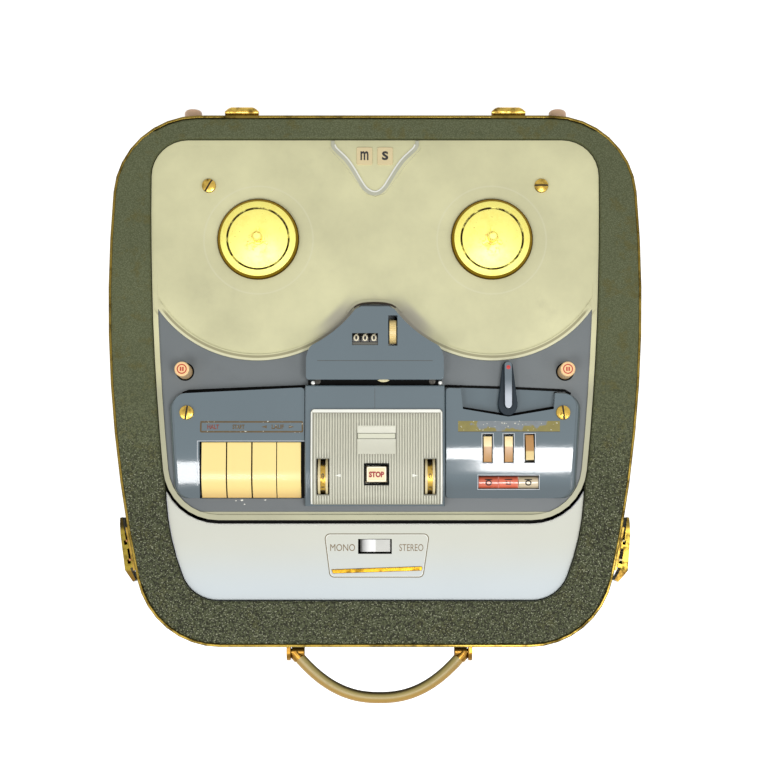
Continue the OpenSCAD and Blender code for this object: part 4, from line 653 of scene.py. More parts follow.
def bow_points(count=64):
    """Middle line of the handle's bow, from the left end to the right one, in millimetres."""
    shares = [2 * i / count - 1 for i in range(count + 1)]
    return [Vector((HANDLE_HALF * u, HANDLE_Y - BOW_DEPTH * (1 - abs(u) ** BOW_SWELL), 0)) for u in shares]


def bridge(form, rings, closed=True, capped=True):
    """Faces from each ring of points to the next one, and over both ends where they are capped."""
    for a, b in zip(rings, rings[1:]):
        for k in range(len(a) if closed else len(a) - 1):
            j = (k + 1) % len(a)
            form.faces.new((a[k], a[j], b[j], b[k]))
    if capped:
        form.faces.new(rings[0])
        form.faces.new(rings[-1])


def tube_mesh(line, wide, high, sides=28):
    """Closed tube along a level line, given by its half width and half height."""
    tube = bmesh.new()
    rings = []
    for i, point in enumerate(line):
        along = (line[min(i + 1, len(line) - 1)] - line[max(i - 1, 0)]).normalized()
        across = Vector((along.y, -along.x, 0))
        ring = []
        for k in range(sides):
            angle = 2 * math.pi * k / sides
            at = point + across * (wide * math.cos(angle)) + Vector((0, 0, high * math.sin(angle)))
            ring.append(tube.verts.new(on_deck(HANDLE_X + at.x, at.y, HANDLE_H + at.z)))
        rings.append(ring)
    bridge(tube, rings)
    return outward_mesh(tube, 40)


def grip_finish():
    """Olive tube, painted golden as lit on its front-facing side and dark as shade along its inner side."""
    finish, tree, skin = new_finish("grip_olive")
    worn = use_group(tree, handling_marks, Size=50.0, Amount=0.6)
    outer = facing(tree, "Y")
    front_lit_share = spread(tree, outer, -0.7, 0.35, 1.0, 0.0)
    tone = mixed(tree, front_lit_share, linear(172, 156, 98), linear(176, 138, 62))
    # Painted shade along the side that faces the case.
    tone = mixed(tree, spread(tree, outer, 0.35, 0.85, 0.0, 1.0), tone, linear(72, 60, 36))
    tone = clouded(tree, tone, 0.35, 30.0)
    tone = mixed(tree, spread(tree, worn["Smudge"], 0.0, 1.0, 0.0, 0.4), tone, linear(120, 104, 62))
    lay_surface(tree, skin, tone, spread(tree, worn["Smudge"], 0.0, 1.0, 0.36, 0.55))
    return finish


grip_olive = grip_finish()
bow = bow_points()
grip = tube_mesh(bow, GRIP_R * 0.98, GRIP_R)
HUB_PROFILE = ((0, 0), (2.5, 0), (2.5, 4.4), (4.9, 4.4), (4.9, 14), (4.2, 14.8), (0, 14.8))
hub_ends = []
for side in (-1, 1):
    hub = turned_mesh(HUB_PROFILE)
    turn = Matrix.Rotation(-side * math.pi / 2, 4, "Y")
    hub.transform(Matrix.Translation(on_deck(HANDLE_X + side * 75.5, HANDLE_Y, HANDLE_H)) @ turn)
    hub_ends.append(hub)
set_piece(grip, "handle_bow", grip_olive, "handle", "grip", "handle_grip")
CAP_R = GRIP_R + 0.7
caps = [tube_mesh(line, CAP_R, CAP_R, 16) for line in (bow[:3], bow[-3:])]
set_piece(join_meshes(caps + hub_ends), "handle_caps", bracket_brass, "handle", "brass")

# Chassis and drive inside the case: a plated steel plate on posts, with bushes, motor, pulley,
# belt, flywheel, pinch arm and heads. The sound and power pieces stand on the base board.

chassis_steel = plated("chassis_steel", linear(168, 168, 160), linear(96, 90, 74), 0.6, 28.0, 0.35, 0.6)
turned_brass = plated("turned_brass", linear(206, 170, 84), linear(104, 76, 24), 0.5, 90.0, 0.25, 0.5)
motor_steel = plated("motor_steel", linear(120, 119, 112), linear(62, 58, 50), 0.7, 40.0, 0.4, 0.65)
wheel_casting = plated("flywheel_casting", linear(165, 152, 120), linear(92, 78, 52), 0.6, 60.0, 0.35, 0.6)
head_plate = plated("head_plate", linear(66, 64, 60), linear(36, 34, 30), 0.6, 120.0, 0.4, 0.6)
belt_rubber = moulded("belt_rubber", linear(44, 42, 40), 0.75, cloud=0.4, size=50.0)
roller_rubber = moulded("roller_rubber", linear(214, 196, 150), 0.6, cloud=0.3, size=90.0)
cone_black = moulded("cone_black", linear(50, 48, 44), 0.8, cloud=0.5, size=40.0)
board_brown = moulded("board_brown", linear(118, 92, 52), 0.55, cloud=0.5, size=35.0)
dress(chassis_steel, "chassis", "pinch_arm", "counter_frame", "key_axle", "rocker_axle", "wheel_pots")
dress(turned_brass, "bearing_bushes", "motor_pulley")
dress(motor_steel, "motor", "transformer")
dress(wheel_casting, "flywheel")
dress(head_plate, "tape_heads")
dress(belt_rubber, "drive_belt")
dress(roller_rubber, "pinch_roller")
dress(cone_black, "loudspeaker")
dress(board_brown, "amplifier")

# Socket panel: a black moulding in the back wall with three round sound sockets and the
# sunken mains inlet; it is screwed on from behind.

socket_black = moulded("socket_black", linear(40, 39, 37), 0.45, cloud=0.4, size=40.0, marks=0.6)
soft_piece("socket_panel", [(0.5, lambda p, e: p.y > 212)], socket_black, FIXED, "black")

# Deck plate: one cream moulding with a rolled lip, beads round the two reel wells and a raised V
# at the back. Reels have rubbed a pale ring round each spindle.

ring_mark, given, put_out = surface_group(
    "ring_mark",
    [("Centre", "Vector", (0, 0, 0)), ("Radius", "Float", 0.04), ("Width", "Float", 0.0006)],
    [("Mask", "Float"), ("Reach", "Float")],
)
offset = shader_node(
    ring_mark,
    "ShaderNodeVectorMath",
    {0: object_place(ring_mark), 1: given["Centre"]},
    operation="SUBTRACT",
).outputs[0]
level = shader_node(
    ring_mark, "ShaderNodeVectorMath", {0: offset, 1: (1, 1, 0)}, operation="MULTIPLY"
).outputs[0]
reach = shader_node(ring_mark, "ShaderNodeVectorMath", {0: level}, operation="LENGTH").outputs["Value"]
apart = worked(ring_mark, "ABSOLUTE", worked(ring_mark, "SUBTRACT", reach, given["Radius"]))
share = worked(ring_mark, "DIVIDE", apart, given["Width"])
ring_mark.links.new(spread(ring_mark, share, 0.5, 1.0, 1.0, 0.0), put_out["Mask"])
ring_mark.links.new(reach, put_out["Reach"])

SPINDLES = {"supply": on_deck(-93, 114), "takeup": on_deck(93, 114)}
# Painted shade at the beads' feet and a painted highlight on their crests: radius, width, share and colour
# of each ring.
BEAD_RINGS = (
    (0.0939, 0.0013, 0.7, (124, 116, 84)),
    (0.0962, 0.0012, 0.6, (226, 223, 190)),
    (0.0991, 0.0011, 0.5, (150, 142, 106)),
)


def deck_finish():
    """Cream moulding, mottled and grimy, greyer on its lip; painted shade and highlights follow its facing,
    beads and flanks.
    """
    finish, tree, skin = new_finish("deck_cream")
    worn = use_group(tree, handling_marks, Size=16.0, Amount=0.75)
    grime = use_group(tree, handling_marks, Size=130.0, Amount=0.5)
    tone = clouded(tree, linear(212, 209, 166), 0.65, 13.0)
    tone = mixed(tree, spread(tree, worn["Smudge"], 0.0, 1.0, 0.0, 0.42), tone, linear(176, 172, 138))
    tone = mixed(tree, spread(tree, grime["Smudge"], 0.3, 1.0, 0.0, 0.5), tone, linear(150, 146, 118))
    for spindle in SPINDLES.values():
        ring = use_group(tree, ring_mark, Centre=spindle, Radius=0.0435, Width=0.0008)["Mask"]
        tone = mixed(tree, spread(tree, ring, 0.0, 1.0, 0.0, 0.25), tone, linear(226, 224, 200))
    # Painted shade on faces turned to the front.
    tone = mixed(tree, spread(tree, facing(tree, "Y"), -0.75, -0.15, 0.75, 0.0), tone, linear(112, 106, 84))
    # Painted highlight on faces turned to the back.
    tone = mixed(tree, spread(tree, facing(tree, "Y"), 0.3, 0.8, 0.0, 0.6), tone, linear(232, 232, 222))
    # Painted highlight on faces turned sideways.
    sideways = worked(tree, "ABSOLUTE", facing(tree, "X"))
    tone = mixed(tree, spread(tree, sideways, 0.3, 0.8, 0.0, 0.6), tone, linear(226, 226, 226))
    forward = placed(tree, "Y")
    beaded = spread(tree, forward, deck_y(61), deck_y(53), 0.0, 1.0)
    # Painted shade at the beads' feet and a painted highlight on their crests.
    for spindle in SPINDLES.values():
        for radius, width, share_of, colour in BEAD_RINGS:
            ring = use_group(tree, ring_mark, Centre=spindle, Radius=radius, Width=width)["Mask"]
            ring = worked(tree, "MULTIPLY", ring, beaded)
            tone = mixed(tree, spread(tree, ring, 0.0, 1.0, 0.0, share_of), tone, linear(*colour))
    # Painted shade along the head cover's flanks.
    flank = spread(tree, worked(tree, "ABSOLUTE", placed(tree, "X")), 0.026, 0.06, 1.0, 0.0)
    flank = worked(tree, "MULTIPLY", flank, spread(tree, forward, deck_y(78), deck_y(48), 0.0, 1.0))
    for spindle in SPINDLES.values():
        ring = use_group(tree, ring_mark, Centre=spindle, Radius=0.0945, Width=0.016)["Mask"]
        ring = worked(tree, "MULTIPLY", ring, flank)
        tone = mixed(tree, spread(tree, ring, 0.0, 1.0, 0.0, 0.75), tone, linear(150, 144, 136))
    # The front lip greyer, and darker still on its rounded sides as painted shade.
    lip = spread(tree, forward, deck_y(12), deck_y(-12), 0.0, 1.0)
    lip = worked(tree, "MULTIPLY", lip, spread(tree, facing(tree, "Z"), 0.7, 1.0, 1.0, 0.5))
    tone = mixed(tree, lip, tone, linear(132, 132, 120))
    dulled = spread(tree, worn["Smudge"], 0.0, 1.0, 0.42, 0.62)
    lay_surface(tree, skin, tone, dulled, 0.25, 0.0001, noise(tree, object_place(tree), 380.0, 3.0))
    return finish


deck_cream = deck_finish()


def deck_rim(p, edge):
    """Outer top edge of the deck's lip, known by the tall wall below it."""
    foot = on_deck(0, 0, -1).z
    walls = [f for f in edge.link_faces if abs(f.normal.z) < 0.3]
    return p.z > -0.5 and any(min(v.co.z for v in f.verts) < foot for f in walls)


def by_nose(p):
    return abs(p.x) < 40 and 34 < p.y < 82


def deck_bead(p, edge):
    return p.z > 1.2 and not by_nose(p) and not deck_rim(p, edge)


def level_lip(soft):
    """Let the lip run out flush round the reel wells and the nose, where the real one has no step."""
    rim = [e for e in soft.edges if len(e.link_faces) == 2 and middle(e).z > 1.2 and deck_rim(middle(e), e)]
    ends = [(in_mm(e.verts[0].co), in_mm(e.verts[1].co)) for e in rim]
    for vertex in soft.verts:
        p = in_mm(vertex.co)
        fade = min(1.0, max(0.0, (p.y - 45) / 40))
        if p.z < 1.0 or fade == 0:
            continue
        if by_nose(p):
            vertex.co.z -= (p.z - 0.05) * min(1.0, (p.y - 45) / 12) * MM
            continue
        for a, b in ends:
            along = b - a
            share_of = min(1.0, max(0.0, (p - a).dot(along) / max(along.length_squared, 1e-9)))
            if (p - a - along * share_of).length < 5:
                vertex.co.z -= (p.z - 0.05) * fade * MM
                break


soft_piece(
    "deck_plate",
    [(2.6, lambda p, e: deck_rim(p, e) and not by_nose(p), 5), (1.3, deck_bead, 4)],
    deck_cream,
    FIXED,
    "cream",
    bend=level_lip,
)

# Mode tiles: two small cream tiles glued inside the raised V, printed with black letters
# that stand for mono and stereo tracks.

tile_cream = moulded("tile_cream", linear(224, 206, 160), 0.35, cloud=0.2, size=80.0)
print_black = moulded("print_black", linear(22, 20, 18), 0.5, cloud=0.3, size=200.0)


def rounded_outline(corners, steps=6):
    """Outline through corners given as x, y and radius, drawn counter-clockwise."""
    points = []
    for i, (x, y, r) in enumerate(corners):
        at = Vector((x, y))
        before = (Vector(corners[i - 1][:2]) - at).normalized()
        after = (Vector(corners[(i + 1) % len(corners)][:2]) - at).normalized()
        half = before.angle(after) / 2
        centre = at + (before + after).normalized() * (r / math.sin(half))
        first = at + before * (r / math.tan(half)) - centre
        last = at + after * (r / math.tan(half)) - centre
        start = math.atan2(first.y, first.x)
        turn = (math.atan2(last.y, last.x) - start + math.pi) % (2 * math.pi) - math.pi
        for k in range(steps + 1):
            angle = start + turn * k / steps
            points.append(centre + Vector((math.cos(angle), math.sin(angle))) * r)
    return points


def ribbon_mesh(points, width, low, high):
    """Flat open ribbon of a given width along a line on the deck."""
    ribbon = bmesh.new()
    rings = []
    for i, point in enumerate(points):
        along = (points[min(i + 1, len(points) - 1)] - points[max(i - 1, 0)]).normalized()
        across = Vector((-along.y, along.x)) * (width / 2)
        sides = [point - across, point + across]
        corners = zip(sides + sides[::-1], (low, low, high, high))
        rings.append([ribbon.verts.new(on_deck(p.x, p.y, h)) for p, h in corners])
    bridge(ribbon, rings)
    return outward_mesh(ribbon, 35)


def letter_mesh(words, width, height, weight, thick=0.15):
    """Words as a plain mesh of a given width and height in millimetres, middle at the origin."""
    drawn = bpy.data.curves.new("words", "FONT")
    drawn.body = words
    drawn.offset = weight
    drawn.extrude = 0.05
    drawn.resolution_u = 4
    mesh = plain_mesh(add_object("words", drawn))
    bpy.data.curves.remove(drawn)
    xs = [v.co.x for v in mesh.vertices]
    ys = [v.co.y for v in mesh.vertices]
    centre = Vector(((min(xs) + max(xs)) / 2, (min(ys) + max(ys)) / 2, 0))
    scale = (width * MM / (max(xs) - min(xs)), height * MM / (max(ys) - min(ys)), thick * MM / 0.1)
    mesh.transform(Matrix.Diagonal((*scale, 1)) @ Matrix.Translation(-centre))
    return mesh


def lay_words(name, words, width, height, centre, finish, body, slot, weight=0.0):
    """Words laid flat with their middle at a point."""
    mesh = letter_mesh(words, width, height, weight)
    mesh.transform(Matrix.Translation(centre))
    set_piece(mesh, name, finish, body, slot)


def soft_rectangle(low_x, low_y, high_x, high_y, radius=1.2):
    return rounded_outline([(*p, radius) for p in rectangle(low_x, low_y, high_x, high_y)], 4)


def eased(points, times=3):
    """The same open line with its corners cut until it runs smoothly."""
    for _ in range(times):
        cut_points = [points[0]]
        for a, b in zip(points, points[1:]):
            cut_points += [a.lerp(b, 0.25), a.lerp(b, 0.75)]
        points = cut_points + [points[-1]]
    return points


VEE = (
    (-33.9, 194.2), (-34.0, 188.9), (-29.7, 184.6), (-23.6, 178.9), (-18.4, 171.4), (-13.3, 162.3),
    (-8.9, 155.2), (-4.4, 151.8), (-0.6, 150.8), (3.4, 151.5), (8.0, 155.4), (12.6, 162.9),
    (17.6, 171.3), (23.0, 178.8), (29.2, 184.5), (33.6, 188.9), (33.6, 194.2),
)
vee = eased([Vector(p) for p in VEE])
vee_in = []
for i, point in enumerate(vee):
    along = (vee[min(i + 1, len(vee) - 1)] - vee[max(i - 1, 0)]).normalized()
    vee_in.append(point + Vector((-along.y, along.x)) * 1.9)
# Painted shade and a painted highlight along the raised V: a grey ribbon over it and a pale line on its
# inner side.
vee_light = moulded("vee_light", linear(236, 236, 226), 0.35, cloud=0.2, size=60.0)
vee_shade = moulded("vee_shade", linear(184, 184, 164), 0.45, cloud=0.4, size=60.0)
set_piece(ribbon_mesh(vee, 2.8, 0.2, 1.58), "vee_shade", vee_shade, FIXED, "cream")
set_piece(ribbon_mesh(vee_in[8:-8], 1.2, 0.2, 1.64), "vee_light", vee_light, FIXED, "cream")
for label, low_x, high_x, letter_w in (("m", -14.9, -2.2, 6.4), ("s", 1.8, 14.2, 5.0)):
    tile = plate_mesh(soft_rectangle(low_x, 174.9, high_x, 189.2), 0.0, 1.2, 0.4)
    set_piece(tile, "mode_tile_" + label, tile_cream, FIXED, "ivory")
    centre = on_deck((low_x + high_x) / 2, 182.2, 1.25)
    lay_words("mode_letter_" + label, label, letter_w, 7.3, centre, print_black, FIXED, "black", 0.022)

# Control plate: the blue-grey plate let into the deck's front half, under all the housings.
# Hands have dulled it between the buttons and the reel wells.

# The plate is painted darker towards the front as shade.
plate_blue = moulded("plate_blue", linear(106, 112, 114), 0.42, cloud=0.22, size=14.0, marks=0.5, shade=0.7)
dress(plate_blue, "control_plate")

# Deck screws: four slotted brass screws with domed heads; the two at the front also hold
# the key block and the selector block down.

dress(hinge_brass, "deck_screws")
# Dark brown that stands for painted shade in the screw slots and in the gap behind the head cover's nose.
slot_shade_dark = moulded("slot_shade_dark", linear(46, 32, 12), 0.7)


def paint_faces(piece, index, chosen):
    """Give one of the piece's finishes to the faces whose corners are all chosen by place and facing."""
    corners = [in_mm(v.co) for v in piece.data.vertices]
    for face in piece.data.polygons:
        if all(chosen(corners[i], face.normal) for i in face.vertices):
            face.material_index = index


def slotted_head(name, x, y, top, angle, radius=5.35, slot=1.4, floor_h=0.08):
    """Domed screw head with an open slot, raised over the turned shank."""
    head = bmesh.new()
    across = [-radius * math.cos(math.pi * i / 14) for i in range(7)]
    rows = []
    for u in across + [-slot / 2, -slot / 2, slot / 2, slot / 2] + [-u for u in across[::-1]]:
        half = math.sqrt(max(radius**2 - u**2, 0.01))
        sunk = len(rows) in (8, 9)
        row = []
        for k in range(13):
            v = -half * math.cos(math.pi * k / 12)
            rise = 0.35 + 0.95 * (1 - (u * u + v * v) / radius**2)
            row.append(head.verts.new((u * MM, v * MM, (floor_h if sunk else rise) * MM)))
        rows.append(row)
    for a, b in zip(rows, rows[1:]):
        for k in range(12):
            head.faces.new((a[k], b[k], b[k + 1], a[k + 1]))
    skirt = bmesh.ops.extrude_edge_only(head, edges=[e for e in head.edges if e.is_boundary])["geom"]
    lowered = [v for v in skirt if isinstance(v, bmesh.types.BMVert)]
    bmesh.ops.translate(head, verts=lowered, vec=(0, 0, -1.2 * MM))
    bmesh.ops.remove_doubles(head, verts=head.verts, dist=0.001 * MM)
    mesh = outward_mesh(head, 40)
    mesh.transform(Matrix.Translation(on_deck(x, y, top)) @ Matrix.Rotation(angle, 4, "Z"))
    piece = set_piece(mesh, name, [hinge_brass, slot_shade_dark], FIXED, "brass")
    turned_back = Matrix.Rotation(-angle, 2)
    paint_faces(piece, 1, lambda p, n: abs((turned_back @ Vector((p.x - x, p.y - y))).x) < slot / 2 + 0.01)


SCREW_X = 147
SCREW_Y = -25.3
slotted_head("screw_head_a", -133, 157.8, 2, math.radians(-30))
slotted_head("screw_head_b", 133, 157.8, 2, math.radians(90))
slotted_head("screw_head_c", -SCREW_X, SCREW_Y, 15, math.radians(-8))
slotted_head("screw_head_d", SCREW_X, SCREW_Y, 15, math.radians(6))

# Turntables: turned and polished brass, slightly domed, with a turned groove and a bevelled rim that are
# both painted darker as shade. A three-winged spindle stands in the middle and takes the reel's hub.


def turntable_finish(name, centre):
    """Polished brass with a turned groove and rim painted darker as shade, and stains round the spindle."""
    finish, tree, skin = new_finish(name)
    groove = use_group(tree, ring_mark, Centre=centre, Radius=0.02445, Width=0.0011)
    aged = use_group(
        tree, metal_patina, Bright=linear(255, 246, 140), Dark=linear(246, 222, 112), Amount=0.5, Size=70.0
    )
    specks = spread(tree, noise(tree, object_place(tree), 650.0, 2.0), 0.71, 0.76, 0.0, 0.8)
    tone = mixed(tree, specks, aged["Colour"], linear(140, 104, 34))
    stained_at = centre + Vector((-0.001, -0.0045, 0))
    stain = use_group(tree, ring_mark, Centre=stained_at, Radius=0.0, Width=0.012)["Mask"]
    blotch = spread(tree, noise(tree, object_place(tree), 240.0, 5.0, 0.65), 0.48, 0.62, 0.0, 0.75)
    tone = mixed(tree, worked(tree, "MULTIPLY", stain, blotch), tone, linear(206, 150, 78))
    # Painted shade on the bevelled rim and, darker still, its outer edge.
    rim = spread(tree, groove["Reach"], 0.0298, 0.0302, 0.0, 1.0)
    tone = mixed(tree, rim, tone, linear(168, 136, 30))
    edge = spread(tree, groove["Reach"], 0.0314, 0.032, 0.0, 1.0)
    tone = mixed(tree, edge, tone, linear(96, 72, 14))
    # Painted shade in the turned groove, broken in places.
    broken = spread(tree, noise(tree, object_place(tree), 180.0, 3.0), 0.3, 0.55, 0.35, 1.0)
    tone = mixed(tree, worked(tree, "MULTIPLY", groove["Mask"], broken), tone, linear(62, 50, 22))
    dome = worked(tree, "MULTIPLY", worked(tree, "POWER", groove["Reach"], 2.0), -11.0)
    lay_surface(tree, skin, tone, spread(tree, aged["Tarnish"], 0.0, 1.0, 0.52, 0.62), 1.0, 1.0, dome)
    skin.inputs["Metallic"].default_value = 1.0
    return finish


for reel in ("supply", "takeup"):
    brass = turntable_finish(reel + "_brass", SPINDLES[reel])
    table = reel + "_turntable"
    soft_piece(table, [(0.5, lambda p, e: p.z > 1)], brass, table, "brass")

# Head cover: a blue-grey moulding with hollow flanks that follow the reels, a window for the
# counter, a slot for its reset wheel and an open front for the tape.

# The housings' blue is painted darker towards the front as shade.
block_blue = moulded("block_blue", linear(98, 113, 120), 0.11, cloud=0.14, size=12.0, coat=0.5, shade=0.7)
# Near black that stands for painted shade in gaps, holes and slots.
painted_gap_shade = moulded("painted_gap_shade", linear(9, 9, 8), 0.8, specular=0.1)


def cover_top(p, edge):
    in_window = -19 < p.x < 3.5 and 26 < p.y < 37.5
    in_slot = 9.2 < p.x < 18.8 and 25.5 < p.y < 51.8
    return p.z > 19.5 and not in_window and not in_slot


def upright(edge):
    return abs(edge.verts[0].co.z - edge.verts[1].co.z) > 0.8 * edge.calc_length()


def cover_corner(p, edge):
    at_front = abs(p.x) > 52 and p.y < 5
    at_nose = p.y > 54 and 8 < abs(p.x) < 24
    return upright(edge) and (at_front or at_nose)


def cover_shoulder(p, edge):
    return upright(edge) and abs(p.x) > 50 and 15 < p.y < 50


def wide_shoulder(soft):
    """Start the shoulder's curve further to the front than the short flat of the plain form."""
    for vertex in soft.verts:
        p = in_mm(vertex.co)
        if abs(p.x) > 50 and 21 < p.y < 24:
            vertex.co = on_deck(p.x, p.y - 4.5, p.z)
        elif abs(p.x) > 50 and 24 < p.y < 27:
            vertex.co = on_deck(p.x - math.copysign(1.0, p.x), p.y + 0.4, p.z)


def in_cover_holes(p, normal):
    return p.z < 20.1 and 5 < p.y < 52.5 and -19 < p.x < 19.2 and abs(normal.z) < 0.5


cover_piece = soft_piece(
    "head_cover",
    [(3.6, cover_shoulder, 5), (2.4, cover_corner, 4), (1.3, cover_top)],
    [block_blue, painted_gap_shade],
    FIXED,
    "blue_block",
    bend=wide_shoulder,
)
# Painted shade on the walls of the cover's holes and across the low part of its open front.
paint_faces(cover_piece, 1, in_cover_holes)
paint_faces(cover_piece, 1, lambda p, n: abs(p.x) < 51 and p.y < 8 and p.z < 15.6)
# A black sheet under the tape slot, painted shade.
shade_sheet = rectangle(-52.5, -3.9, 52.5, 3)
set_piece(plate_mesh(shade_sheet, 10.6, 11.6, 0.3), "slot_felt", painted_gap_shade, FIXED, "black")
guide_white = moulded("guide_white", linear(236, 236, 230), 0.25, coat=0.4)
guides = []
for x, y in ((-48.4, -2.0), (51.1, -2.0)):
    pin = turned_mesh([(1.7, 0), (1.7, 14.2), (1.2, 14.9), (0, 15.2)], 20)
    pin.transform(Matrix.Translation(on_deck(x, y, 0)))
    guides.append(pin)
set_piece(join_meshes(guides), "tape_guides", guide_white, FIXED, "chrome")
guide_cream = moulded("guide_cream", linear(222, 212, 164), 0.4, cloud=0.3, size=80.0)
roll = turned_mesh([(3, 2), (3, 9), (8.3, 9.4), (8.3, 13.6), (7.8, 14), (0, 14)], 40)
roll.transform(Matrix.Translation(on_deck(6.7, 6.9, 0)))
set_piece(roll, "guide_roll", guide_cream, FIXED, "cream")
COLLAR = (
    (-22, 55.6), (-18.3, 60.2), (-13.5, 63.6), (-6, 64.7), (0.8, 64.9),
    (8, 64.4), (13.6, 63.2), (18, 60.4), (21.6, 56),
)
collar = eased([Vector(p) for p in COLLAR])
collar_in = [p + Vector((0, -1.7)) for p in collar[14:-14]]
set_piece(ribbon_mesh(collar, 2.0, 0.0, 1.7), "nose_collar", deck_cream, FIXED, "cream")
# Painted shade in the gap between the collar and the nose.
set_piece(ribbon_mesh(collar_in, 1.5, 0.0, 1.6), "nose_gap", slot_shade_dark, FIXED, "black")
line_dark = moulded("line_dark", linear(62, 62, 56), 0.5, cloud=0.4, size=120.0)
rule = rectangle(-45, 14.6, 45, 15.0)
set_piece(plate_mesh(rule, 19.9, 20.04), "cover_rule", line_dark, FIXED, "black")

# Counter: three black digit drums on one axle behind the window, with cream figures, and a
# cream reset wheel with a milled rim beside them.


def wrap_on_drum(mesh, axle, radius, turn):
    """Bend flat words round a drum whose axle runs across the deck."""
    for vertex in mesh.vertices:
        angle = vertex.co.y / (radius * MM) + turn
        out = radius * MM + vertex.co.z
        vertex.co = axle + Vector((vertex.co.x, out * math.sin(angle), out * math.cos(angle)))


def drum_figures(drum, width, height, axle, radius, finish, slot, lead=0.0):
    """Ten figures set evenly round a drum, the first one upwards or led a little to the back."""
    ring = []
    for figure in range(10):
        mesh = letter_mesh(str(figure), width, height, 0.02, 0.12)
        wrap_on_drum(mesh, axle, radius, lead - 2 * math.pi * figure / 10)
        ring.append(mesh)
    set_piece(join_meshes(ring), drum + "_figures", finish, drum, slot)


drum_black = moulded("drum_black", linear(34, 31, 28), 0.45, cloud=0.3, size=120.0)
figure_cream = moulded("figure_cream", linear(236, 226, 196), 0.45, cloud=0.2, size=200.0)
for place_of, drum in ((1, "units_wheel"), (0, "tens_wheel"), (-1, "hundreds_wheel")):
    dress(drum_black, drum)
    drum_figures(drum, 4.2, 5.2, on_deck(-7.7 + place_of * 6.9, 31.7, 10), 7.22, figure_cream, "ivory", 0.2)
sill_grey = moulded("sill_grey", linear(92, 90, 80), 0.4, cloud=0.3, size=150.0)
sill = rectangle(-17.6, 27.2, 2.2, 29.4)
set_piece(plate_mesh(sill, 17.6, 18.2), "counter_sill", sill_grey, FIXED, "black")
reset_cream = moulded("reset_cream", linear(242, 218, 152), 0.35, cloud=0.2, size=90.0)
dress(reset_cream, "reset_wheel")

# Key block: the left blue-grey housing, glossy, rolled down to the front, with a window for the
# keys and a worn gold frame of printed words above them.


BLOCK_TOP = 13
BLOCK_ROLL_Y = -46
BLOCK_ROLL_R = (45.8**2 + 8**2) / 16


def block_height(y):
    """Height of the housings' upper face, level at the back and rolled down to the front."""
    past = max(0.0, BLOCK_ROLL_Y - y)
    return BLOCK_TOP - BLOCK_ROLL_R + math.sqrt(BLOCK_ROLL_R**2 - past**2)


def sheet_mesh(low_x, high_x, low_y, high_y, ground, lift):
    """Thin sheet that lies on a rolled surface."""
    sheet = bmesh.new()
    rows = []
    steps = max(1, math.ceil((high_y - low_y) / 2.5))
    for i in range(steps + 1):
        y = low_y + (high_y - low_y) * i / steps
        heights = (ground(y) - 0.2, ground(y) + lift)
        corners = [(low_x, heights[0]), (high_x, heights[0]), (high_x, heights[1]), (low_x, heights[1])]
        rows.append([sheet.verts.new(on_deck(x, y, h)) for x, h in corners])
    bridge(sheet, rows)
    return outward_mesh(sheet, 35)


def by_screw(p):
    return math.hypot(abs(p.x) - SCREW_X, p.y - SCREW_Y) < 7


def block_edge(p, edge):
    in_keys = -137.9 < p.x < -56.5 and p.y < -46
    return p.z > 3 and not in_keys and not by_screw(p)


key_housing = soft_piece("key_block", [(2.4, block_edge)], [block_blue, painted_gap_shade], FIXED, "blue_block")
# Painted shade on the walls of the key window.
paint_faces(key_housing, 1, lambda p, n: -138.4 < p.x < -54.4 and -94 < p.y < -47 and n.z < 0.5)
shade = sheet_mesh(-57.6, -55.15, -91.7, -48.0, block_height, 0.06)
set_piece(shade, "key_window_shade", painted_gap_shade, FIXED, "black")
# Painted shade in the gap behind the key block.
back_gap = [Vector((-152, -9.2)), Vector((-147.3, -7.3)), Vector((-98.8, -5.2)), Vector((-55.2, -3.5))]
set_piece(ribbon_mesh(back_gap, 2.6, -0.6, -0.4), "key_block_gap", painted_gap_shade, FIXED, "black")
chip_white = moulded("chip_white", linear(236, 236, 226), 0.5)
chips = []
for x, y, size in ((-109.1, -93.6, 0.7), (-104.4, -93.2, 1.3), (-102.4, -96.4, 0.8), (-86.1, -93.0, 0.9)):
    spot = ((x - size, y), (x, y - size * 0.6), (x + size, y + 0.2), (x, y + size * 0.5))
    chips.append(plate_mesh([Vector(p) for p in spot], -0.6, -0.42))
set_piece(join_meshes(chips), "paint_chips", chip_white, FIXED, "ivory")


def finer(points, step=3.0, closed=True):
    """The same line with points no further apart than a step."""
    out = []
    for a, b in zip(points, points[1:] + points[:1] if closed else points[1:]):
        count = max(1, math.ceil((b - a).length / step))
        out += [a.lerp(b, i / count) for i in range(count)]
    return out if closed else out + [points[-1]]


def band_mesh(outline, width, low, high, ground=None):
    """Closed band along the inside of an outline; ground gives the height of the surface below."""
    outline = finer(outline) if ground else outline
    inner = []
    for i, point in enumerate(outline):
        along = (outline[(i + 1) % len(outline)] - outline[i - 1]).normalized()
        inner.append(point + Vector((-along.y, along.x)) * width)
    band = bmesh.new()
    rings = []
    for points, height in ((outline, low), (outline, high), (inner, high), (inner, low)):
        lift = [ground(p.y) if ground else 0 for p in points]
        rings.append([band.verts.new(on_deck(p.x, p.y, height + up)) for p, up in zip(points, lift)])
    bridge(band, rings + rings[:1], capped=False)
    return outward_mesh(band, 35)


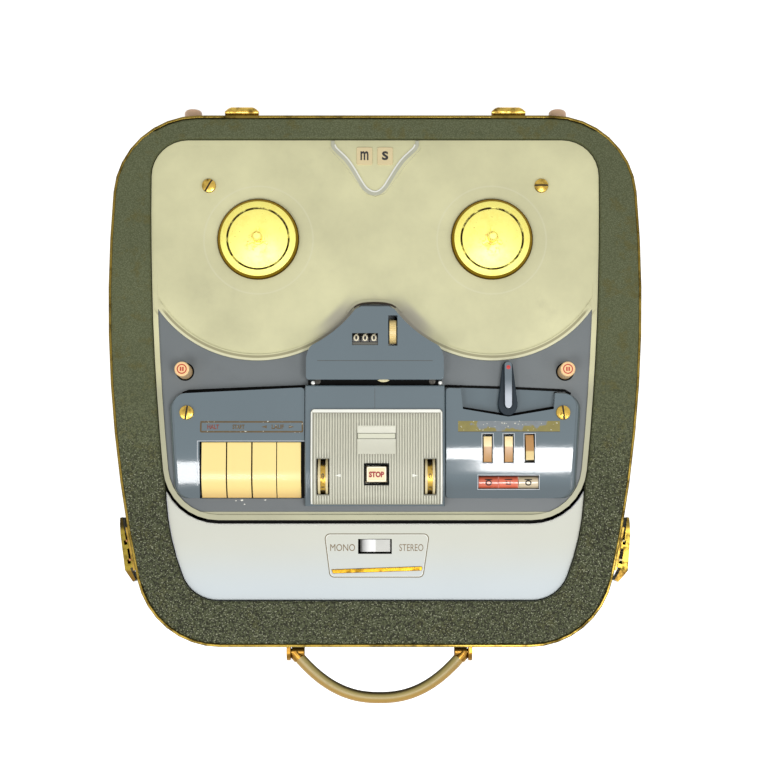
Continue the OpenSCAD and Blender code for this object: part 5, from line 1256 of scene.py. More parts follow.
def skirt_mesh(side, reach=5.0):
    """Swelling of a housing's outer side, from its upper edge out to the control plate."""
    corners = ((55.1, -5.5, 1), (158.3, -10.5, 10), (152.5, -91.8, 10), (55.1, -91.8, 1))
    line_of = finer(rounded_outline(corners, 8)[9:27], 4, closed=False)
    skirt = bmesh.new()
    rings = []
    for i, point in enumerate(line_of):
        along = (line_of[min(i + 1, len(line_of) - 1)] - line_of[max(i - 1, 0)]).normalized()
        out = Vector((-along.y, along.x))
        wide = reach * min(1.0, i / 8, (len(line_of) - 1 - i) / 8)
        top = block_height(point.y) - 0.9
        ring = []
        for k in range(7):
            angle = math.pi / 2 * k / 6
            at = point + out * (wide * math.sin(angle) - 0.4)
            ring.append(skirt.verts.new(on_deck(side * at.x, at.y, -0.5 + (top + 0.5) * math.cos(angle))))
        rings.append(ring)
    bridge(skirt, rings, closed=False, capped=False)
    mesh = outward_mesh(skirt, 60)
    if sum(f.normal.x * f.area for f in mesh.polygons) * side < 0:
        mesh.flip_normals()
    return mesh


set_piece(skirt_mesh(-1), "key_block_side", block_blue, FIXED, "blue_block")


def worn_print(name, colour, under, wear, size):
    """Printed gold that hands have rubbed through to the moulding."""
    finish, tree, skin = new_finish(name)
    place_of = object_place(tree)
    rub_and_highlight = spread(tree, noise(tree, place_of, size, 6.0, 0.7), wear - 0.08, wear + 0.08, 0.0, 1.0)
    flecks = spread(tree, noise(tree, place_of, 520.0, 2.0), 0.64, 0.69, 0.0, 0.9)
    tone = clouded(tree, colour, 0.8, 160.0)
    tone = mixed(tree, rub_and_highlight, tone, under)
    tone = mixed(tree, flecks, tone, linear(226, 224, 206))
    lay_surface(tree, skin, tone, spread(tree, rub_and_highlight, 0.0, 1.0, 0.4, 0.25))
    return finish


def arrow_mesh(x, y, way, reach, low, high):
    """Small arrow head that points left or right."""
    tip = [Vector((x + way * reach, y)), Vector((x - way * 2.0, y + 1.2)), Vector((x - way * 2.0, y - 1.2))]
    return plate_mesh(tip if way < 0 else tip[::-1], low, high)


legend_gold = worn_print("legend_gold", linear(84, 64, 22), linear(104, 116, 122), 0.66, 240.0)
legend_red = worn_print("legend_red", linear(112, 46, 32), linear(104, 116, 122), 0.7, 300.0)
outline_pale = moulded("outline_pale", linear(196, 200, 204), 0.3)
pale_lines = [
    sheet_mesh(-138.6, -54.9, -47.7, -47.2, block_height, 0.05),
    sheet_mesh(-138.6, -138.1, -82.0, -47.2, block_height, 0.05),
]
set_piece(join_meshes(pale_lines), "key_outline", outline_pale, FIXED, "chrome")
legend = soft_rectangle(-136.5, -40.9, -55.9, -31.9)
set_piece(band_mesh(legend, 1.3, 12.95, 13.06), "legend_frame", legend_gold, FIXED, "brass")
for label, words, width, x, finish in (
    ("halt", "HALT", 9.2, -126.2, legend_red),
    ("start", "START", 9.4, -106.4, legend_gold),
    ("run", "LAUF", 9.6, -75.8, legend_gold),
):
    lay_words("legend_" + label, words, width, 3.6, on_deck(x, -36.4, 13.02), finish, FIXED, "brass", 0.04)
arrows = []
for x, way in ((-86.4, -1), (-65.2, 1)):
    arrows.append(arrow_mesh(x, -36.4, way, 2.2, 12.95, 13.06))
set_piece(join_meshes(arrows), "legend_arrows", legend_gold, FIXED, "brass")

# Keys: four thick ivory keys on one axle, rolled over at the front, for halt, start, rewind
# and forward.


def scaled_about(point, wide, deep, high):
    """Stretch along the three axes that leaves one point where it is."""
    return Matrix.Translation(point) @ Matrix.Diagonal((wide, deep, high, 1)) @ Matrix.Translation(-point)


def key_finish():
    """Ivory, painted darker tan as shade on the faces turned down at the front."""
    finish, tree, skin = new_finish("key_ivory")
    worn = use_group(tree, handling_marks, Size=34.0, Amount=0.3)
    front_face_shade = spread(tree, facing(tree, "Y"), -0.95, -0.4, 1.0, 0.0)
    tone = mixed(tree, front_face_shade, linear(252, 226, 146), linear(222, 172, 106))
    tone = clouded(tree, tone, 0.12, 20.0)
    tone = mixed(tree, spread(tree, worn["Smudge"], 0.0, 1.0, 0.0, 0.3), tone, linear(232, 200, 124))
    lay_surface(tree, skin, tone, spread(tree, worn["Smudge"], 0.0, 1.0, 0.32, 0.5))
    skin.inputs["Coat Weight"].default_value = 0.1
    return finish


key_ivory = key_finish()
# Dark that stands for painted shade on the sides of the keys and rockers.
key_and_rocker_side_shade = moulded("key_and_rocker_side_shade", linear(40, 32, 20), 0.6)
KEY_ENDS = ((-135.2, -116.2), (-115.2, -96.5), (-95.4, -77.0), (-76.3, -57.7))
for key, (left_end, right_end) in zip(("halt_key", "start_key", "rewind_key", "forward_key"), KEY_ENDS):
    key_low, key_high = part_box(key)
    narrow = (right_end - left_end) * MM / (key_high[0] - key_low[0])
    shift = (left_end + right_end) / 2 * MM - (key_low[0] + key_high[0]) / 2
    middle_of = Vector(((key_low[0] + key_high[0]) / 2, 0, 0))
    piece = soft_piece(
        key,
        [(1.1, lambda p, e: p.z > 1.5 and p.y < -46)],
        [key_ivory, key_and_rocker_side_shade],
        key,
        "ivory",
        reshape=Matrix.Translation((shift, 0, 0)) @ scaled_about(middle_of, narrow, 1, 1),
    )
    # Painted shade on the key's sides and underside.
    paint_faces(piece, 1, lambda p, n: abs(n.x) > 0.9 or n.z < -0.3)

# Selector block: the right housing, with a wide notch for the speed lever, three rocker slots,
# the indicator window and a strip of worn gold print.


SELECTOR_X = 104.3
ROCKER_XS = (87.9, SELECTOR_X, 120.7)


def selector_edge(p, edge):
    in_windows = 76 < p.x < 132 and p.y < -39
    in_notch = 65.5 < p.x < 143.1 and p.y > -30
    return p.z > 3 and not in_windows and not by_screw(p) and not in_notch


selector_housing = soft_piece(
    "selector_block", [(2.4, selector_edge)], [block_blue, painted_gap_shade], FIXED, "blue_block"
)
# Painted shade on the walls of the rocker and indicator windows.
paint_faces(selector_housing, 1, lambda p, n: 76 < p.x < 132 and -90 < p.y < -41 and n.z < 0.5)
set_piece(skirt_mesh(1), "selector_block_side", block_blue, FIXED, "blue_block")
# Painted shade in the gap behind the selector block.
back_gap = [Vector(p) for p in ((55.2, -3.2), (94.9, -4.4), (111.8, -5.0), (149.8, -6.8), (154.5, -9.6))]
set_piece(ribbon_mesh(back_gap, 2.0, 0.35, 0.6), "selector_gap", painted_gap_shade, FIXED, "black")
NOTCH = (
    (66.5, -21.0), (105.2, -28.0), (142.0, -21.0), (142.4, -7.0), (111.8, -5.4), (94.9, -4.8), (66.0, -4.0),
)
notch = plate_mesh([Vector(p) for p in NOTCH], -0.6, 0.3)
set_piece(notch, "notch_floor", block_blue, FIXED, "blue_block")
NOTCH_SHADES = {
    "front": ((67.5, -20.6), (105.2, -26.6), (142.0, -20.2)),
    "right": ((141.4, -21), (142.4, -8)),
}
for label, points in NOTCH_SHADES.items():
    dark = ribbon_mesh([Vector(p) for p in points], 2.4, 0.25, 0.42)
    set_piece(dark, "notch_shade_" + label, painted_gap_shade, FIXED, "black")
outlines = []
for x in ROCKER_XS:
    edge = rectangle(x - 4.7, -64.9, x + 4.7, -41.4)
    outlines.append(band_mesh(edge, 0.5, -0.1, 0.06, block_height))
edge = rectangle(80.1, -85.2, 128.5, -73.6)
outlines.append(band_mesh(edge, 0.55, -0.1, 0.06, block_height))
set_piece(join_meshes(outlines), "slot_outlines", outline_pale, FIXED, "chrome")


def strip_print():
    """Gold print worn away in the middle, thicker at its ends and along the bottom."""
    finish, tree, skin = new_finish("strip_gold")
    place_of = object_place(tree)
    apart = worked(tree, "ABSOLUTE", worked(tree, "SUBTRACT", placed(tree, "X"), on_deck(104.6, 0).x))
    ends = spread(tree, apart, 0.02, 0.037, 0.0, 0.45)
    bottom = spread(tree, placed(tree, "Y"), deck_y(-39.5), deck_y(-33.5), 0.2, 0.0)
    kept = worked(tree, "ADD", noise(tree, place_of, 150.0, 5.0), worked(tree, "ADD", ends, bottom))
    kept = spread(tree, kept, 0.62, 0.74, 0.0, 1.0)
    tone = mixed(tree, kept, linear(112, 120, 124), linear(128, 118, 52))
    flecks = spread(tree, noise(tree, place_of, 420.0, 2.0), 0.66, 0.7, 0.0, 0.9)
    tone = mixed(tree, flecks, tone, linear(214, 212, 190))
    tone = clouded(tree, tone, 0.6, 200.0)
    lay_surface(tree, skin, tone, spread(tree, kept, 0.0, 1.0, 0.3, 0.5))
    return finish


strip_gold = strip_print()
strip = rectangle(64.9, -40.0, 144.4, -31.8)
set_piece(plate_mesh(strip, 12.95, 13.05), "gold_strip", strip_gold, FIXED, "brass")
under = rectangle(64.9, -40.4, 144.4, -40.0)
set_piece(plate_mesh(under, 12.95, 13.07), "strip_rule", line_dark, FIXED, "black")

# Speed lever: a blue-grey pointer with a paler ridge that has a painted highlight towards its front end,
# sides painted dark as shade and a red dot at its tip; it turns on a pin in the control plate.


def ridge_finish():
    """Ridge of the lever, with a painted highlight towards its front end."""
    finish, tree, skin = new_finish("lever_ridge")
    worn = use_group(tree, handling_marks, Size=70.0, Amount=0.6)
    forward = placed(tree, "Y")
    rub_and_highlight = spread(tree, forward, deck_y(2), deck_y(-15), 0.0, 1.0)
    tone = mixed(tree, rub_and_highlight, linear(100, 112, 120), linear(196, 203, 212))
    tone = mixed(tree, spread(tree, worn["Smudge"], 0.0, 1.0, 0.0, 0.4), tone, linear(76, 90, 98))
    lay_surface(tree, skin, tone, spread(tree, worn["Smudge"], 0.0, 1.0, 0.2, 0.4))
    skin.inputs["Coat Weight"].default_value = 0.3
    return finish


def slim_lever(soft):
    """Draw the lever's foot in and widen its tip, until the sides run almost side by side."""
    for vertex in soft.verts:
        p = in_mm(vertex.co)
        tip = min(1.0, max(0.0, (p.y + 18.6) / 30))
        vertex.co = on_deck(SELECTOR_X + (p.x - SELECTOR_X) * (0.84 + 0.36 * tip), p.y, p.z)


lever_blue = ridge_finish()
lever_side_shade = moulded("lever_side_shade", linear(36, 47, 55), 0.5, cloud=0.3, size=40.0, specular=0.2)
lever_piece = soft_piece(
    "speed_lever",
    [(0.9, lambda p, e: p.z > 6)],
    [lever_blue, lever_side_shade],
    "speed_lever",
    "blue_block",
    bend=slim_lever,
)
# Painted shade on the lever's foot and steep sides.
paint_faces(lever_piece, 1, lambda p, n: p.z < 13.6 or n.z < 0.75)
dot_red = moulded("dot_red", linear(196, 48, 40), 0.4, cloud=0.3, size=300.0)
dot = turned_mesh([(1.6, 0), (1.6, 0.12), (0, 0.2)], 20)
dot.transform(Matrix.Translation(on_deck(104.4, 10.2, 14.95)))
set_piece(dot, "lever_dot", dot_red, "speed_lever", "red_strip")

# Rockers: three ivory rocker switches on one axle; the facet that is pressed down is painted
# darker as shade and the other lighter as lit.


def rocker_finish(name, turn_y, light_side):
    """Ivory with a lit and a shaded facet, painted as light and shade, that meet at the turn."""
    finish, tree, skin = new_finish(name)
    forward = placed(tree, "Y")
    turn = deck_y(turn_y)
    light = spread(tree, forward, turn - 0.0006, turn + 0.0006, 0.5 - light_side / 2, 0.5 + light_side / 2)
    tone = mixed(tree, light, linear(190, 142, 86), linear(236, 210, 146))
    tone = clouded(tree, tone, 0.25, 60.0)
    lay_surface(tree, skin, tone, spread(tree, noise(tree, object_place(tree), 120.0), 0.4, 0.7, 0.3, 0.42))
    return finish


ROCKERS = (
    ("left_rocker", -52.0, 1, 0.45),
    ("middle_rocker", -52.0, 1, 0.45),
    ("right_rocker", -55.4, -1, -0.45),
)
ROCKER_Y = -53.2
for x, (rocker, turn_y, light_side, shift_y) in zip(ROCKER_XS, ROCKERS):
    ivory = rocker_finish(rocker + "_ivory", turn_y, light_side)
    turned_to = Matrix.Translation((0, shift_y * MM, 0))
    piece = soft_piece(
        rocker,
        [(0.6, lambda p, e: p.z > 9)],
        [ivory, key_and_rocker_side_shade],
        rocker,
        "ivory",
        reshape=turned_to @ scaled_about(on_deck(x, ROCKER_Y, 5.5), 0.88, 1.03, 1),
    )
    # Painted shade on the rocker's sides.
    paint_faces(piece, 1, lambda p, n: abs(n.x) > 0.9)

# Indicator strip: a half-round lens in three lengths, two red and one beige, with a black
# sign printed on each.


STRIP_LONG = 46.6


def strip_finish():
    """Lens coloured in three lengths."""
    finish, tree, skin = new_finish("strip_lens")
    tone = linear(218, 108, 80)
    for side, colour in ((-1, linear(232, 116, 86)), (1, linear(214, 196, 164))):
        joint = on_deck(SELECTOR_X + side * STRIP_LONG / 6, 0).x
        past_joint = spread(tree, placed(tree, "X"), joint - 0.0002, joint + 0.0002, 0.0, 1.0)
        tone = mixed(tree, past_joint, tone, colour)
    tone = clouded(tree, tone, 0.3, 60.0)
    lay_surface(tree, skin, tone, spread(tree, noise(tree, object_place(tree), 90.0), 0.4, 0.7, 0.16, 0.3))
    skin.inputs["Coat Weight"].default_value = 0.4
    return finish


soft_piece("indicator_strip", [(0.15, lambda p, e: p.z > 6)], strip_finish(), FIXED, "red_strip")
def oval(x, y, wide, deep, count):
    turns = [2 * math.pi * k / count for k in range(count)]
    return [Vector((x + wide * math.cos(a), y + deep * math.sin(a))) for a in turns]


STRIP_R = 4.9
STRIP_H = 5 - STRIP_R + 3
CUP = ((-2, -1.5), (2, -1.5), (2, 1.3), (1.1, 1.3), (1.1, -0.6), (-1.1, -0.6), (-1.1, 1.3), (-2, 1.3))
signs = []
for kind, x in (("circle", 88.8), ("cup", SELECTOR_X), ("circle", 119.8)):
    if kind == "circle":
        sign = band_mesh(oval(0, 0, 2.5, 2.3, 16), 1.0, 0, 0.1)
    else:
        sign = plate_mesh([Vector(p) for p in CUP], 0, 0.1)
    whole = join_meshes([sign, plate_mesh(rectangle(-2.9, 2.3, 2.9, 3.1), 0, 0.1)])
    whole.transform(Matrix.Translation(-on_deck(0, 0)))
    wrap_on_drum(whole, on_deck(x, -79.4, STRIP_H), STRIP_R + 0.05, -0.1)
    signs.append(whole)
set_piece(join_meshes(signs), "strip_signs", print_black, FIXED, "black")

# Centre block: the blue-grey housing between the two others, moulded in halves that meet in a
# fine seam, with a seat for the ribbed cover.


def centre_edge(p, edge):
    return p.z > 5 and (abs(p.x) > 53 or p.y > -6)


soft_piece("centre_block", [(1.8, centre_edge)], block_blue, FIXED, "blue_block")
seam = rectangle(-0.2, -22.6, 0.1, -6.2)
set_piece(plate_mesh(seam, 16.9, 17.03), "block_seam", line_dark, FIXED, "black")

# Ribbed cover: a pale grey moulding with fine ribs from back to front inside a smooth border, and
# openings for the tuning eye, the stop button and two thumbwheels.

COVER_X = 1.3
COVER_SHIFT = Matrix.Translation((COVER_X * MM, 0, 0))
# The cover's base between the ribs is darker than the ribs as painted shade in the grooves.
cover_grey = moulded("cover_grey", linear(140, 138, 122), 0.45, cloud=0.3, size=30.0, marks=0.5)
rib_grey = moulded("rib_grey", linear(211, 210, 192), 0.36, cloud=0.2, size=16.0, marks=0.5)
cover_base = soft_piece(
    "ribbed_cover",
    [(0.5, lambda p, e: abs(p.x) > 50 or p.y > -24)],
    [cover_grey, rib_grey, painted_gap_shade],
    FIXED,
    "ribbed",
    reshape=COVER_SHIFT,
)
paint_faces(cover_base, 1, lambda p, n: abs(p.x - COVER_X) < 15.6 and -58.6 < p.y < -35.2)
# Painted shade on the walls of the cover's openings.
paint_faces(cover_base, 2, lambda p, n: n.z < 0.5 and abs(p.x) < 49 and -92 < p.y < -58.7)

COVER_TOP = 17 + 2.2
ROLL_Y = -62
ROLL_R = (36**2 + 8**2) / 16


def cover_height(y):
    """Height of the cover's upper face, level at the back and rolled down to the front."""
    past = max(0.0, ROLL_Y - y)
    return COVER_TOP - ROLL_R + math.sqrt(ROLL_R**2 - past**2)


def rib_mesh(stretches, width=1.45, height=0.62, sink=0.15):
    """One rib along the cover, in the stretches of reach where it isn't interrupted."""
    rib = bmesh.new()
    section = [(-0.5, 0), (-0.36, 0.7), (-0.12, 1), (0.12, 1), (0.36, 0.7), (0.5, 0)]
    for start, end in stretches:
        count = max(2, int(abs(end - start) / 5))
        rings = []
        for i in range(count + 1):
            y = start + (end - start) * i / count
            swell = 0.35 if i in (0, count) else 1.0
            base = cover_height(y) - sink
            ring = []
            for u, v in section:
                x = u * width * (0.6 + 0.4 * swell)
                ring.append(rib.verts.new(on_deck(x, y, base + (height + sink) * v * swell)))
            rings.append(ring)
        bridge(rib, rings, closed=False)
    bmesh.ops.recalc_face_normals(rib, faces=rib.faces)
    return rounded_mesh(rib, 60)


RIB_PITCH = 2.084
RIB_COUNT = 47
RIB_BACK = -26.4
RIB_FRONT = -96.4


def rib_stretches(x):
    """Lengths of the rib at a given place across the cover."""
    if 36.2 < abs(x) < 47.0:
        return ((RIB_BACK, -60.9), (-90.1, RIB_FRONT))
    if abs(x) < 9.8:
        return ((RIB_BACK, -36.6), (-57.2, -65.6), (-81.6, RIB_FRONT))
    if abs(x) < 15.7:
        return ((RIB_BACK, -36.6), (-57.2, RIB_FRONT))
    return ((RIB_BACK, RIB_FRONT),)


rib_places = [(i - (RIB_COUNT - 1) / 2) * RIB_PITCH for i in range(RIB_COUNT)]
rib_step = Vector((RIB_PITCH * MM, 0, 0))
rib_rows = []
first = 0
for i in range(1, RIB_COUNT + 1):
    if i == RIB_COUNT or rib_stretches(rib_places[i]) != rib_stretches(rib_places[first]):
        start = Vector(((rib_places[first] + COVER_X) * MM, 0, 0))
        pattern = rib_mesh(rib_stretches(rib_places[first]))
        rib_rows.append(row_mesh(pattern, i - first, start, rib_step, rib_grey))
        first = i
set_piece(join_meshes(rib_rows), "cover_ribs", rib_grey, FIXED, "ribbed")

border_grey = moulded("border_grey", linear(240, 240, 230), 0.3, cloud=0.15, size=30.0)


def border_mesh():
    """Smooth border along the cover's back and both sides."""
    edge = bmesh.new()
    for side in (-1, 1):
        rings = []
        for y in [-23.3] + [-25.6 - 71 * i / 18 for i in range(19)]:
            wide, inside = (51.1, 49.9) if y < -25 else (49.4, 49.0)
            section = ((wide, 0.1), (wide - 0.3, 0.55), (inside, 0.55), (inside - 0.1, -0.1))
            rings.append([edge.verts.new(on_deck(side * x, y, cover_height(y) + h)) for x, h in section])
        bridge(edge, rings)
    corners = [(-49.6, -25.7, 0.3), (49.6, -25.7, 0.3), (49.6, -23.2, 0.8), (-49.6, -23.2, 0.8)]
    back = plate_mesh(rounded_outline(corners, 4), COVER_TOP - 0.1, COVER_TOP + 0.55, 0.3)
    return join_meshes([outward_mesh(edge, 40), back])


border = border_mesh()
border.transform(COVER_SHIFT)
set_piece(border, "cover_border", border_grey, FIXED, "ribbed")
marks = []
for x, way in ((COVER_X - 29.8, -1), (COVER_X + 29.8, 1)):
    h = cover_height(-74.6) + 0.45
    marks.append(arrow_mesh(x, -74.6, way, 2.4, h, h + 0.35))
set_piece(join_meshes(marks), "wheel_marks", border_grey, FIXED, "ribbed")

# Tuning eye: a glass indicator tube lying under the cover, whose pale light bar shows in the
# recess.

eye_glass = moulded("eye_glass", linear(220, 220, 198), 0.12, cloud=0.1, size=60.0, coat=0.5)
soft_piece("eye_tube", [], eye_glass, FIXED, "glass_tube", COVER_SHIFT)

# Stop button: a square peach key in the cover's window, with a paler rim and red printed letters.

STOP_Y = -73.6
stop_peach = moulded("stop_peach", linear(252, 230, 184), 0.3, cloud=0.12, size=60.0)
stop_rim = moulded("stop_rim", linear(255, 246, 222), 0.28, cloud=0.1, size=60.0)
stop_key = soft_piece(
    "stop_button",
    [(0.7, lambda p, e: p.z > 15)],
    [stop_peach, painted_gap_shade],
    "stop_button",
    "peach",
    reshape=COVER_SHIFT @ scaled_about(on_deck(0, STOP_Y, 0), 0.925, 0.95, 1),
)
# Painted shade on the stop button's sides.
paint_faces(stop_key, 1, lambda p, n: n.z < 0.3)
# Painted shade in the gap round the stop button.
edge = rectangle(COVER_X - 9.7, STOP_Y - 8.6, COVER_X + 9.7, STOP_Y + 8.4)
gap = band_mesh(edge, 1.3, -0.3, 0.66, cover_height)
set_piece(gap, "stop_gap", painted_gap_shade, FIXED, "black")
STOP_TOP = COVER_TOP - 1 + 0.8
rim = soft_rectangle(COVER_X - 7.5, STOP_Y - 5.7, COVER_X + 7.5, STOP_Y + 5.7)
rim_mesh = band_mesh(rim, 0.9, STOP_TOP - 0.2, STOP_TOP + 0.06)
set_piece(rim_mesh, "stop_rim", stop_rim, "stop_button", "peach")
stop_red = moulded("stop_red", linear(150, 18, 12), 0.4, cloud=0.4, size=300.0)
centre = on_deck(COVER_X, -73.8, STOP_TOP + 0.02)
lay_words("stop_words", "STOP", 11.8, 4.6, centre, stop_red, "stop_button", "red_strip", 0.055)

# Thumbwheels: brass bands with dark figures between two cream rims, on the shafts of the level
# and tone controls.

wheel_brass = plated("wheel_brass", linear(190, 154, 70), linear(54, 40, 16), 1.0, 150.0, 0.28, 0.5)
rim_cream = moulded("rim_cream", linear(222, 206, 160), 0.32, cloud=0.2, size=80.0)
for wheel, x in (("level_wheel", -41.6), ("tone_wheel", 41.6)):
    piece = soft_piece(wheel, [(0.3, None)], [wheel_brass, rim_cream], wheel, "worn_brass", COVER_SHIFT)
    axle = on_deck(x + COVER_X, -75, 1.2)
    for face in piece.data.polygons:
        far = math.hypot(face.center.y - axle.y, face.center.z - axle.z)
        at_rim = abs(face.center.x - axle.x) > 1.9 * MM
        face.material_index = 1 if at_rim and far > 14 * MM else 0
    drum_figures(wheel, 2.4, 4.2, axle, 16.82, print_black, "black")

# Round push buttons: turned cream buttons left and right of the blocks, each with a red ring
# and sign printed on its top.

button_cream = moulded("button_cream", linear(250, 208, 150), 0.32, cloud=0.2, size=70.0)
button_red = moulded("button_red", linear(184, 42, 20), 0.4, cloud=0.4, size=300.0)
BUTTON_X = 150.3
BUTTON_Y = 8.2
BUTTON_TOP = 21
for side, button in ((-1, "left_button"), (1, "right_button")):
    base_of = on_deck(side * BUTTON_X, BUTTON_Y, 0)
    taller = scaled_about(base_of, 1.07, 1.07, BUTTON_TOP / 17)
    soft_piece(button, [(0.8, lambda p, e: p.z > 10)], button_cream, button, "peach", taller)
    # Painted shade in the gap round the button.
    gap = plate_mesh(oval(side * BUTTON_X, BUTTON_Y, 7.2, 7.2, 32), -0.6, -0.38)
    set_piece(gap, button + "_gap", painted_gap_shade, FIXED, "black")
    ring = oval(side * BUTTON_X, BUTTON_Y, 3.9, 3.9, 32)
    parts = [band_mesh(ring, 0.85, BUTTON_TOP - 0.05, BUTTON_TOP + 0.06)]
    for k in (-1, 1):
        x = side * BUTTON_X + k * 0.9
        stroke = rectangle(x - 0.6, 6.6, x + 0.6, 9.8)
        parts.append(plate_mesh(stroke, BUTTON_TOP - 0.05, BUTTON_TOP + 0.06))
    set_piece(join_meshes(parts), button + "_sign", button_red, button, "red_strip")

# Front panel: a glossy pale grey moulding below the deck with an engraved frame round the
# switch, its two words and a plain gold bar.


def panel_finish():
    """Pale moulding, a little warmer along the back and cooler to the front, with painted highlights on
    faces turned back and to the left.
    """
    finish, tree, skin = new_finish("panel_grey")
    worn = use_group(tree, handling_marks, Size=20.0, Amount=0.15)
    forward = placed(tree, "Y")
    cool = spread(tree, forward, deck_y(-118), deck_y(-168), 0.0, 1.0)
    tone = mixed(tree, cool, linear(212, 213, 201), linear(207, 215, 218))
    tone = clouded(tree, tone, 0.08, 12.0)
    tone = mixed(tree, spread(tree, worn["Smudge"], 0.0, 1.0, 0.0, 0.5), tone, linear(190, 190, 176))
    # Painted highlight on faces turned to the back.
    tone = mixed(tree, spread(tree, facing(tree, "Y"), 0.2, 0.7, 0.0, 0.8), tone, linear(250, 250, 246))
    # Painted highlight on faces turned to the left.
    tone = mixed(tree, spread(tree, facing(tree, "X"), -0.7, -0.2, 0.8, 0.0), tone, linear(238, 240, 250))
    lay_surface(tree, skin, tone, spread(tree, worn["Smudge"], 0.0, 1.0, 0.46, 0.6))
    skin.inputs["Specular IOR Level"].default_value = 0.12
    return finish


def in_switch(p):
    return abs(p.x) < 14 and -136 < p.y < -122


panel_grey = panel_finish()
panel_piece = soft_piece(
    "front_panel",
    [(1.3, lambda p, e: p.z > -1.5 and not in_switch(p))],
    [panel_grey, painted_gap_shade],
    FIXED,
    "panel",
)
# Painted shade round the stereo switch in its window.
paint_faces(panel_piece, 1, lambda p, n: in_switch(p) and n.z < 0.5)
PANEL_H = -1.0
# A black ribbon in the gap behind the panel, painted shade.
shade_sheet = [Vector((-135, -110.2)), Vector((135, -110.2))]
set_piece(ribbon_mesh(shade_sheet, 2.8, -5.0, -3.6), "panel_felt", painted_gap_shade, FIXED, "black")
engraved = moulded("engraved_line", linear(100, 88, 54), 0.5, cloud=0.5, size=160.0)
engraved_light = moulded("engraved_light", linear(240, 240, 232), 0.4)
switch_frame = [(-35.4, -153.5, 4), (37.9, -153.5, 4), (43.0, -119.2, 4), (-39.9, -119.2, 4)]
frame_line = band_mesh(rounded_outline(switch_frame), 0.75, PANEL_H - 0.05, PANEL_H + 0.05)
set_piece(frame_line, "switch_frame", engraved, FIXED, "brass")
inner_frame = [(x * 0.985, y + (0.6 if y < -140 else -0.6), r) for x, y, r in switch_frame]
inner_line = band_mesh(rounded_outline(inner_frame), 0.5, PANEL_H - 0.05, PANEL_H + 0.04)
set_piece(inner_line, "switch_frame_light", engraved_light, FIXED, "panel")
word_gold = moulded("word_gold", linear(112, 90, 50), 0.4, cloud=0.6, size=300.0)
for label, words, x, width in (("mono", "MONO", -25.3, 19.4), ("stereo", "STEREO", 28.5, 18.8)):
    centre = on_deck(x, -130.2, PANEL_H + 0.05)
    lay_words("word_" + label, words, width, 5.4, centre, word_gold, FIXED, "brass")
bar_gold = plated("bar_gold", linear(166, 128, 36), linear(88, 62, 12), 0.8, 160.0, 0.3, 0.45)
GOLD_BAR = ((-32.9, -150.4), (36.4, -148.1), (37.2, -146.2), (36.4, -144.8), (-34.0, -147.2))
bar = [Vector(p) for p in GOLD_BAR]
set_piece(plate_mesh(bar, PANEL_H - 0.2, PANEL_H + 1.2, 0.5), "gold_bar", bar_gold, FIXED, "brass")

# Stereo switch: a pale moulded rocker in the panel's window, rounded on the side that is pressed
# down and flat on the other, on a pin in the panel.


def switch_finish():
    """Pale plastic painted with light and shade by its facing: dark down the rounded side, white where it
    levels out, light grey on the flat side.
    """
    finish, tree, skin = new_finish("switch_pale")
    sideways = facing(tree, "X")
    lit_share = spread(tree, sideways, -0.7, -0.14, 0.0, 1.0)
    tone = mixed(tree, lit_share, linear(120, 120, 116), linear(250, 250, 248))
    tone = mixed(tree, spread(tree, sideways, -0.06, 0.0, 0.0, 1.0), tone, linear(208, 208, 202))
    tone = clouded(tree, tone, 0.1, 90.0)
    lay_surface(tree, skin, tone, spread(tree, noise(tree, object_place(tree), 160.0), 0.4, 0.7, 0.4, 0.5))
    skin.inputs["Specular IOR Level"].default_value = 0.15
    return finish


switch_pale = switch_finish()
SWITCH_Y = -129.3
SWITCH_LEFT = -11.5
SWITCH_RIGHT = 12.0
switch_profile = [(SWITCH_LEFT, -3.6)]
for i in range(1, 11):
    angle = math.radians(52 - 5 * i)
    switch_profile.append((1.2 - 16.1 * math.sin(angle), -9.4 + 10 * math.cos(angle)))
switch_profile += [(1.4, 0.6), (SWITCH_RIGHT - 0.5, 0.25), (SWITCH_RIGHT, -0.3)]
switch_profile += [(SWITCH_RIGHT, -4.5), (SWITCH_LEFT, -4.5)]
rocker_form = bmesh.new()
ends = []
for y in (SWITCH_Y - 4.1, SWITCH_Y + 5.5):
    ends.append([rocker_form.verts.new(on_deck(x, y, h)) for x, h in switch_profile])
bridge(rocker_form, ends)
bmesh.ops.recalc_face_normals(rocker_form, faces=rocker_form.faces)
round_edges(rocker_form, 0.3, lambda p, e: p.z > -3)
rocker_mesh = smooth_mesh(rocker_form, 30)
set_piece(rocker_mesh, "switch_rocker", switch_pale, "stereo_rocker", "chrome", "stereo_rocker")

# Studio: a pale floor under the recorder, a white surround, two soft boxes at the sides and three
# small ones overhead that give the bands of light on the rolled housings.


def looked_at(tree):
    """One where a surface is seen directly, in a reflection or through glass."""
    seen = shader_node(tree, "ShaderNodeLightPath").outputs
    shown = worked(tree, "MAXIMUM", seen["Is Camera Ray"], seen["Is Glossy Ray"])
    return worked(tree, "MAXIMUM", shown, seen["Is Transmission Ray"])


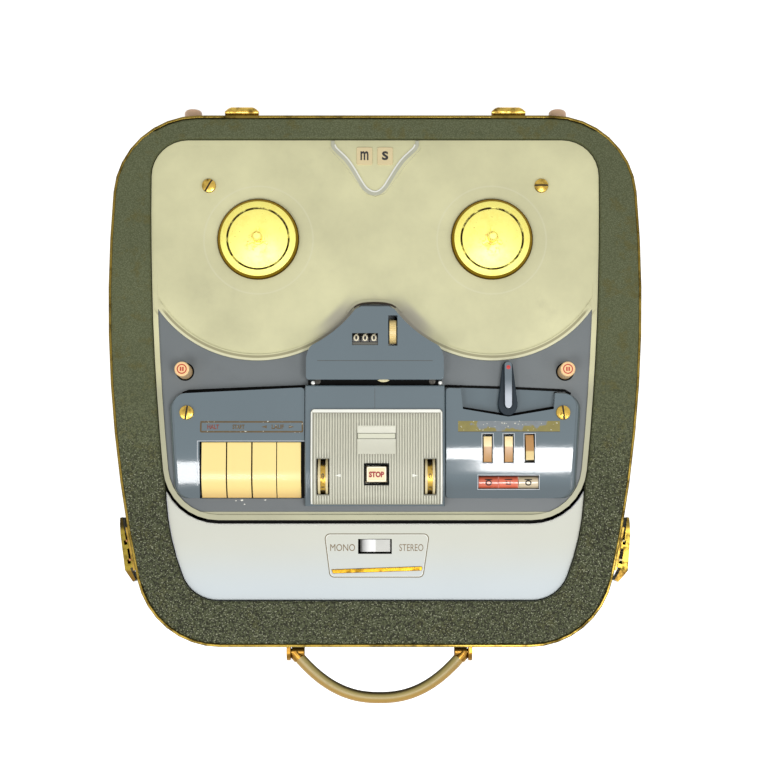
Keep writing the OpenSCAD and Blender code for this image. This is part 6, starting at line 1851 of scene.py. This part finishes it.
floor_mesh = bpy.data.meshes.new("studio_floor")
floor_mesh.from_pydata([(-8, -8, 0), (8, -8, 0), (8, 8, 0), (-8, 8, 0)], [], [(0, 1, 2, 3)])
floor = add_object("studio_floor", floor_mesh)
floor_white, tree, skin = new_finish("floor_white")
skin.inputs["Base Color"].default_value = (0.86, 0.86, 0.86, 1)
skin.inputs["Roughness"].default_value = 0.9
skin.inputs["Emission Color"].default_value = (1, 1, 1, 1)
tree.links.new(worked(tree, "MULTIPLY", looked_at(tree), 0.8), skin.inputs["Emission Strength"])
floor_mesh.materials.append(floor_white)

world = bpy.data.worlds.new("studio_white")
bpy.context.scene.world = world
world.use_nodes = True
tree = world.node_tree
sky = tree.nodes["Background"]
sky.inputs["Color"].default_value = (1, 1, 1, 1)
tree.links.new(spread(tree, looked_at(tree), 0.0, 1.0, 0.3, 1.0), sky.inputs["Strength"])


def soft_box(name, place_of, aim, width, height, power):
    light = bpy.data.lights.new(name, "AREA")
    light.shape = "RECTANGLE"
    light.size = width
    light.size_y = height
    light.energy = power
    lamp = add_object(name, light)
    lamp.location = place_of
    lamp.rotation_euler = (Vector(aim) - Vector(place_of)).to_track_quat("-Z", "Y").to_euler()


soft_box("left_box", (-1.1, -0.75, 1.5), (0, 0, 0.15), 0.7, 0.7, 4.5)
soft_box("right_box", (1.1, -0.75, 1.5), (0, 0, 0.15), 0.7, 0.7, 4.5)
soft_box("right_band", (0.27, -0.29, 1.46), (0.27, -0.29, 0), 0.22, 0.4, 6.0)
soft_box("right_band_end", (0.13, -0.2, 1.46), (0.13, -0.2, 0), 0.06, 0.2, 0.85)
soft_box("left_band", (-0.3, -0.53, 1.46), (-0.3, -0.53, 0), 0.3, 0.41, 5.4)

# Camera: almost straight above, a little to the front.

LEAN = math.radians(5.7)
lens = bpy.data.cameras.new("view_camera")
lens.sensor_width = 36
lens.lens = 75.02
camera = add_object("view_camera", lens)
camera.location = on_deck(7.1, -127.2, 1259)
camera.rotation_euler = (LEAN, 0, 0)
bpy.context.scene.camera = camera
bpy.context.scene.view_settings.view_transform = "Standard"
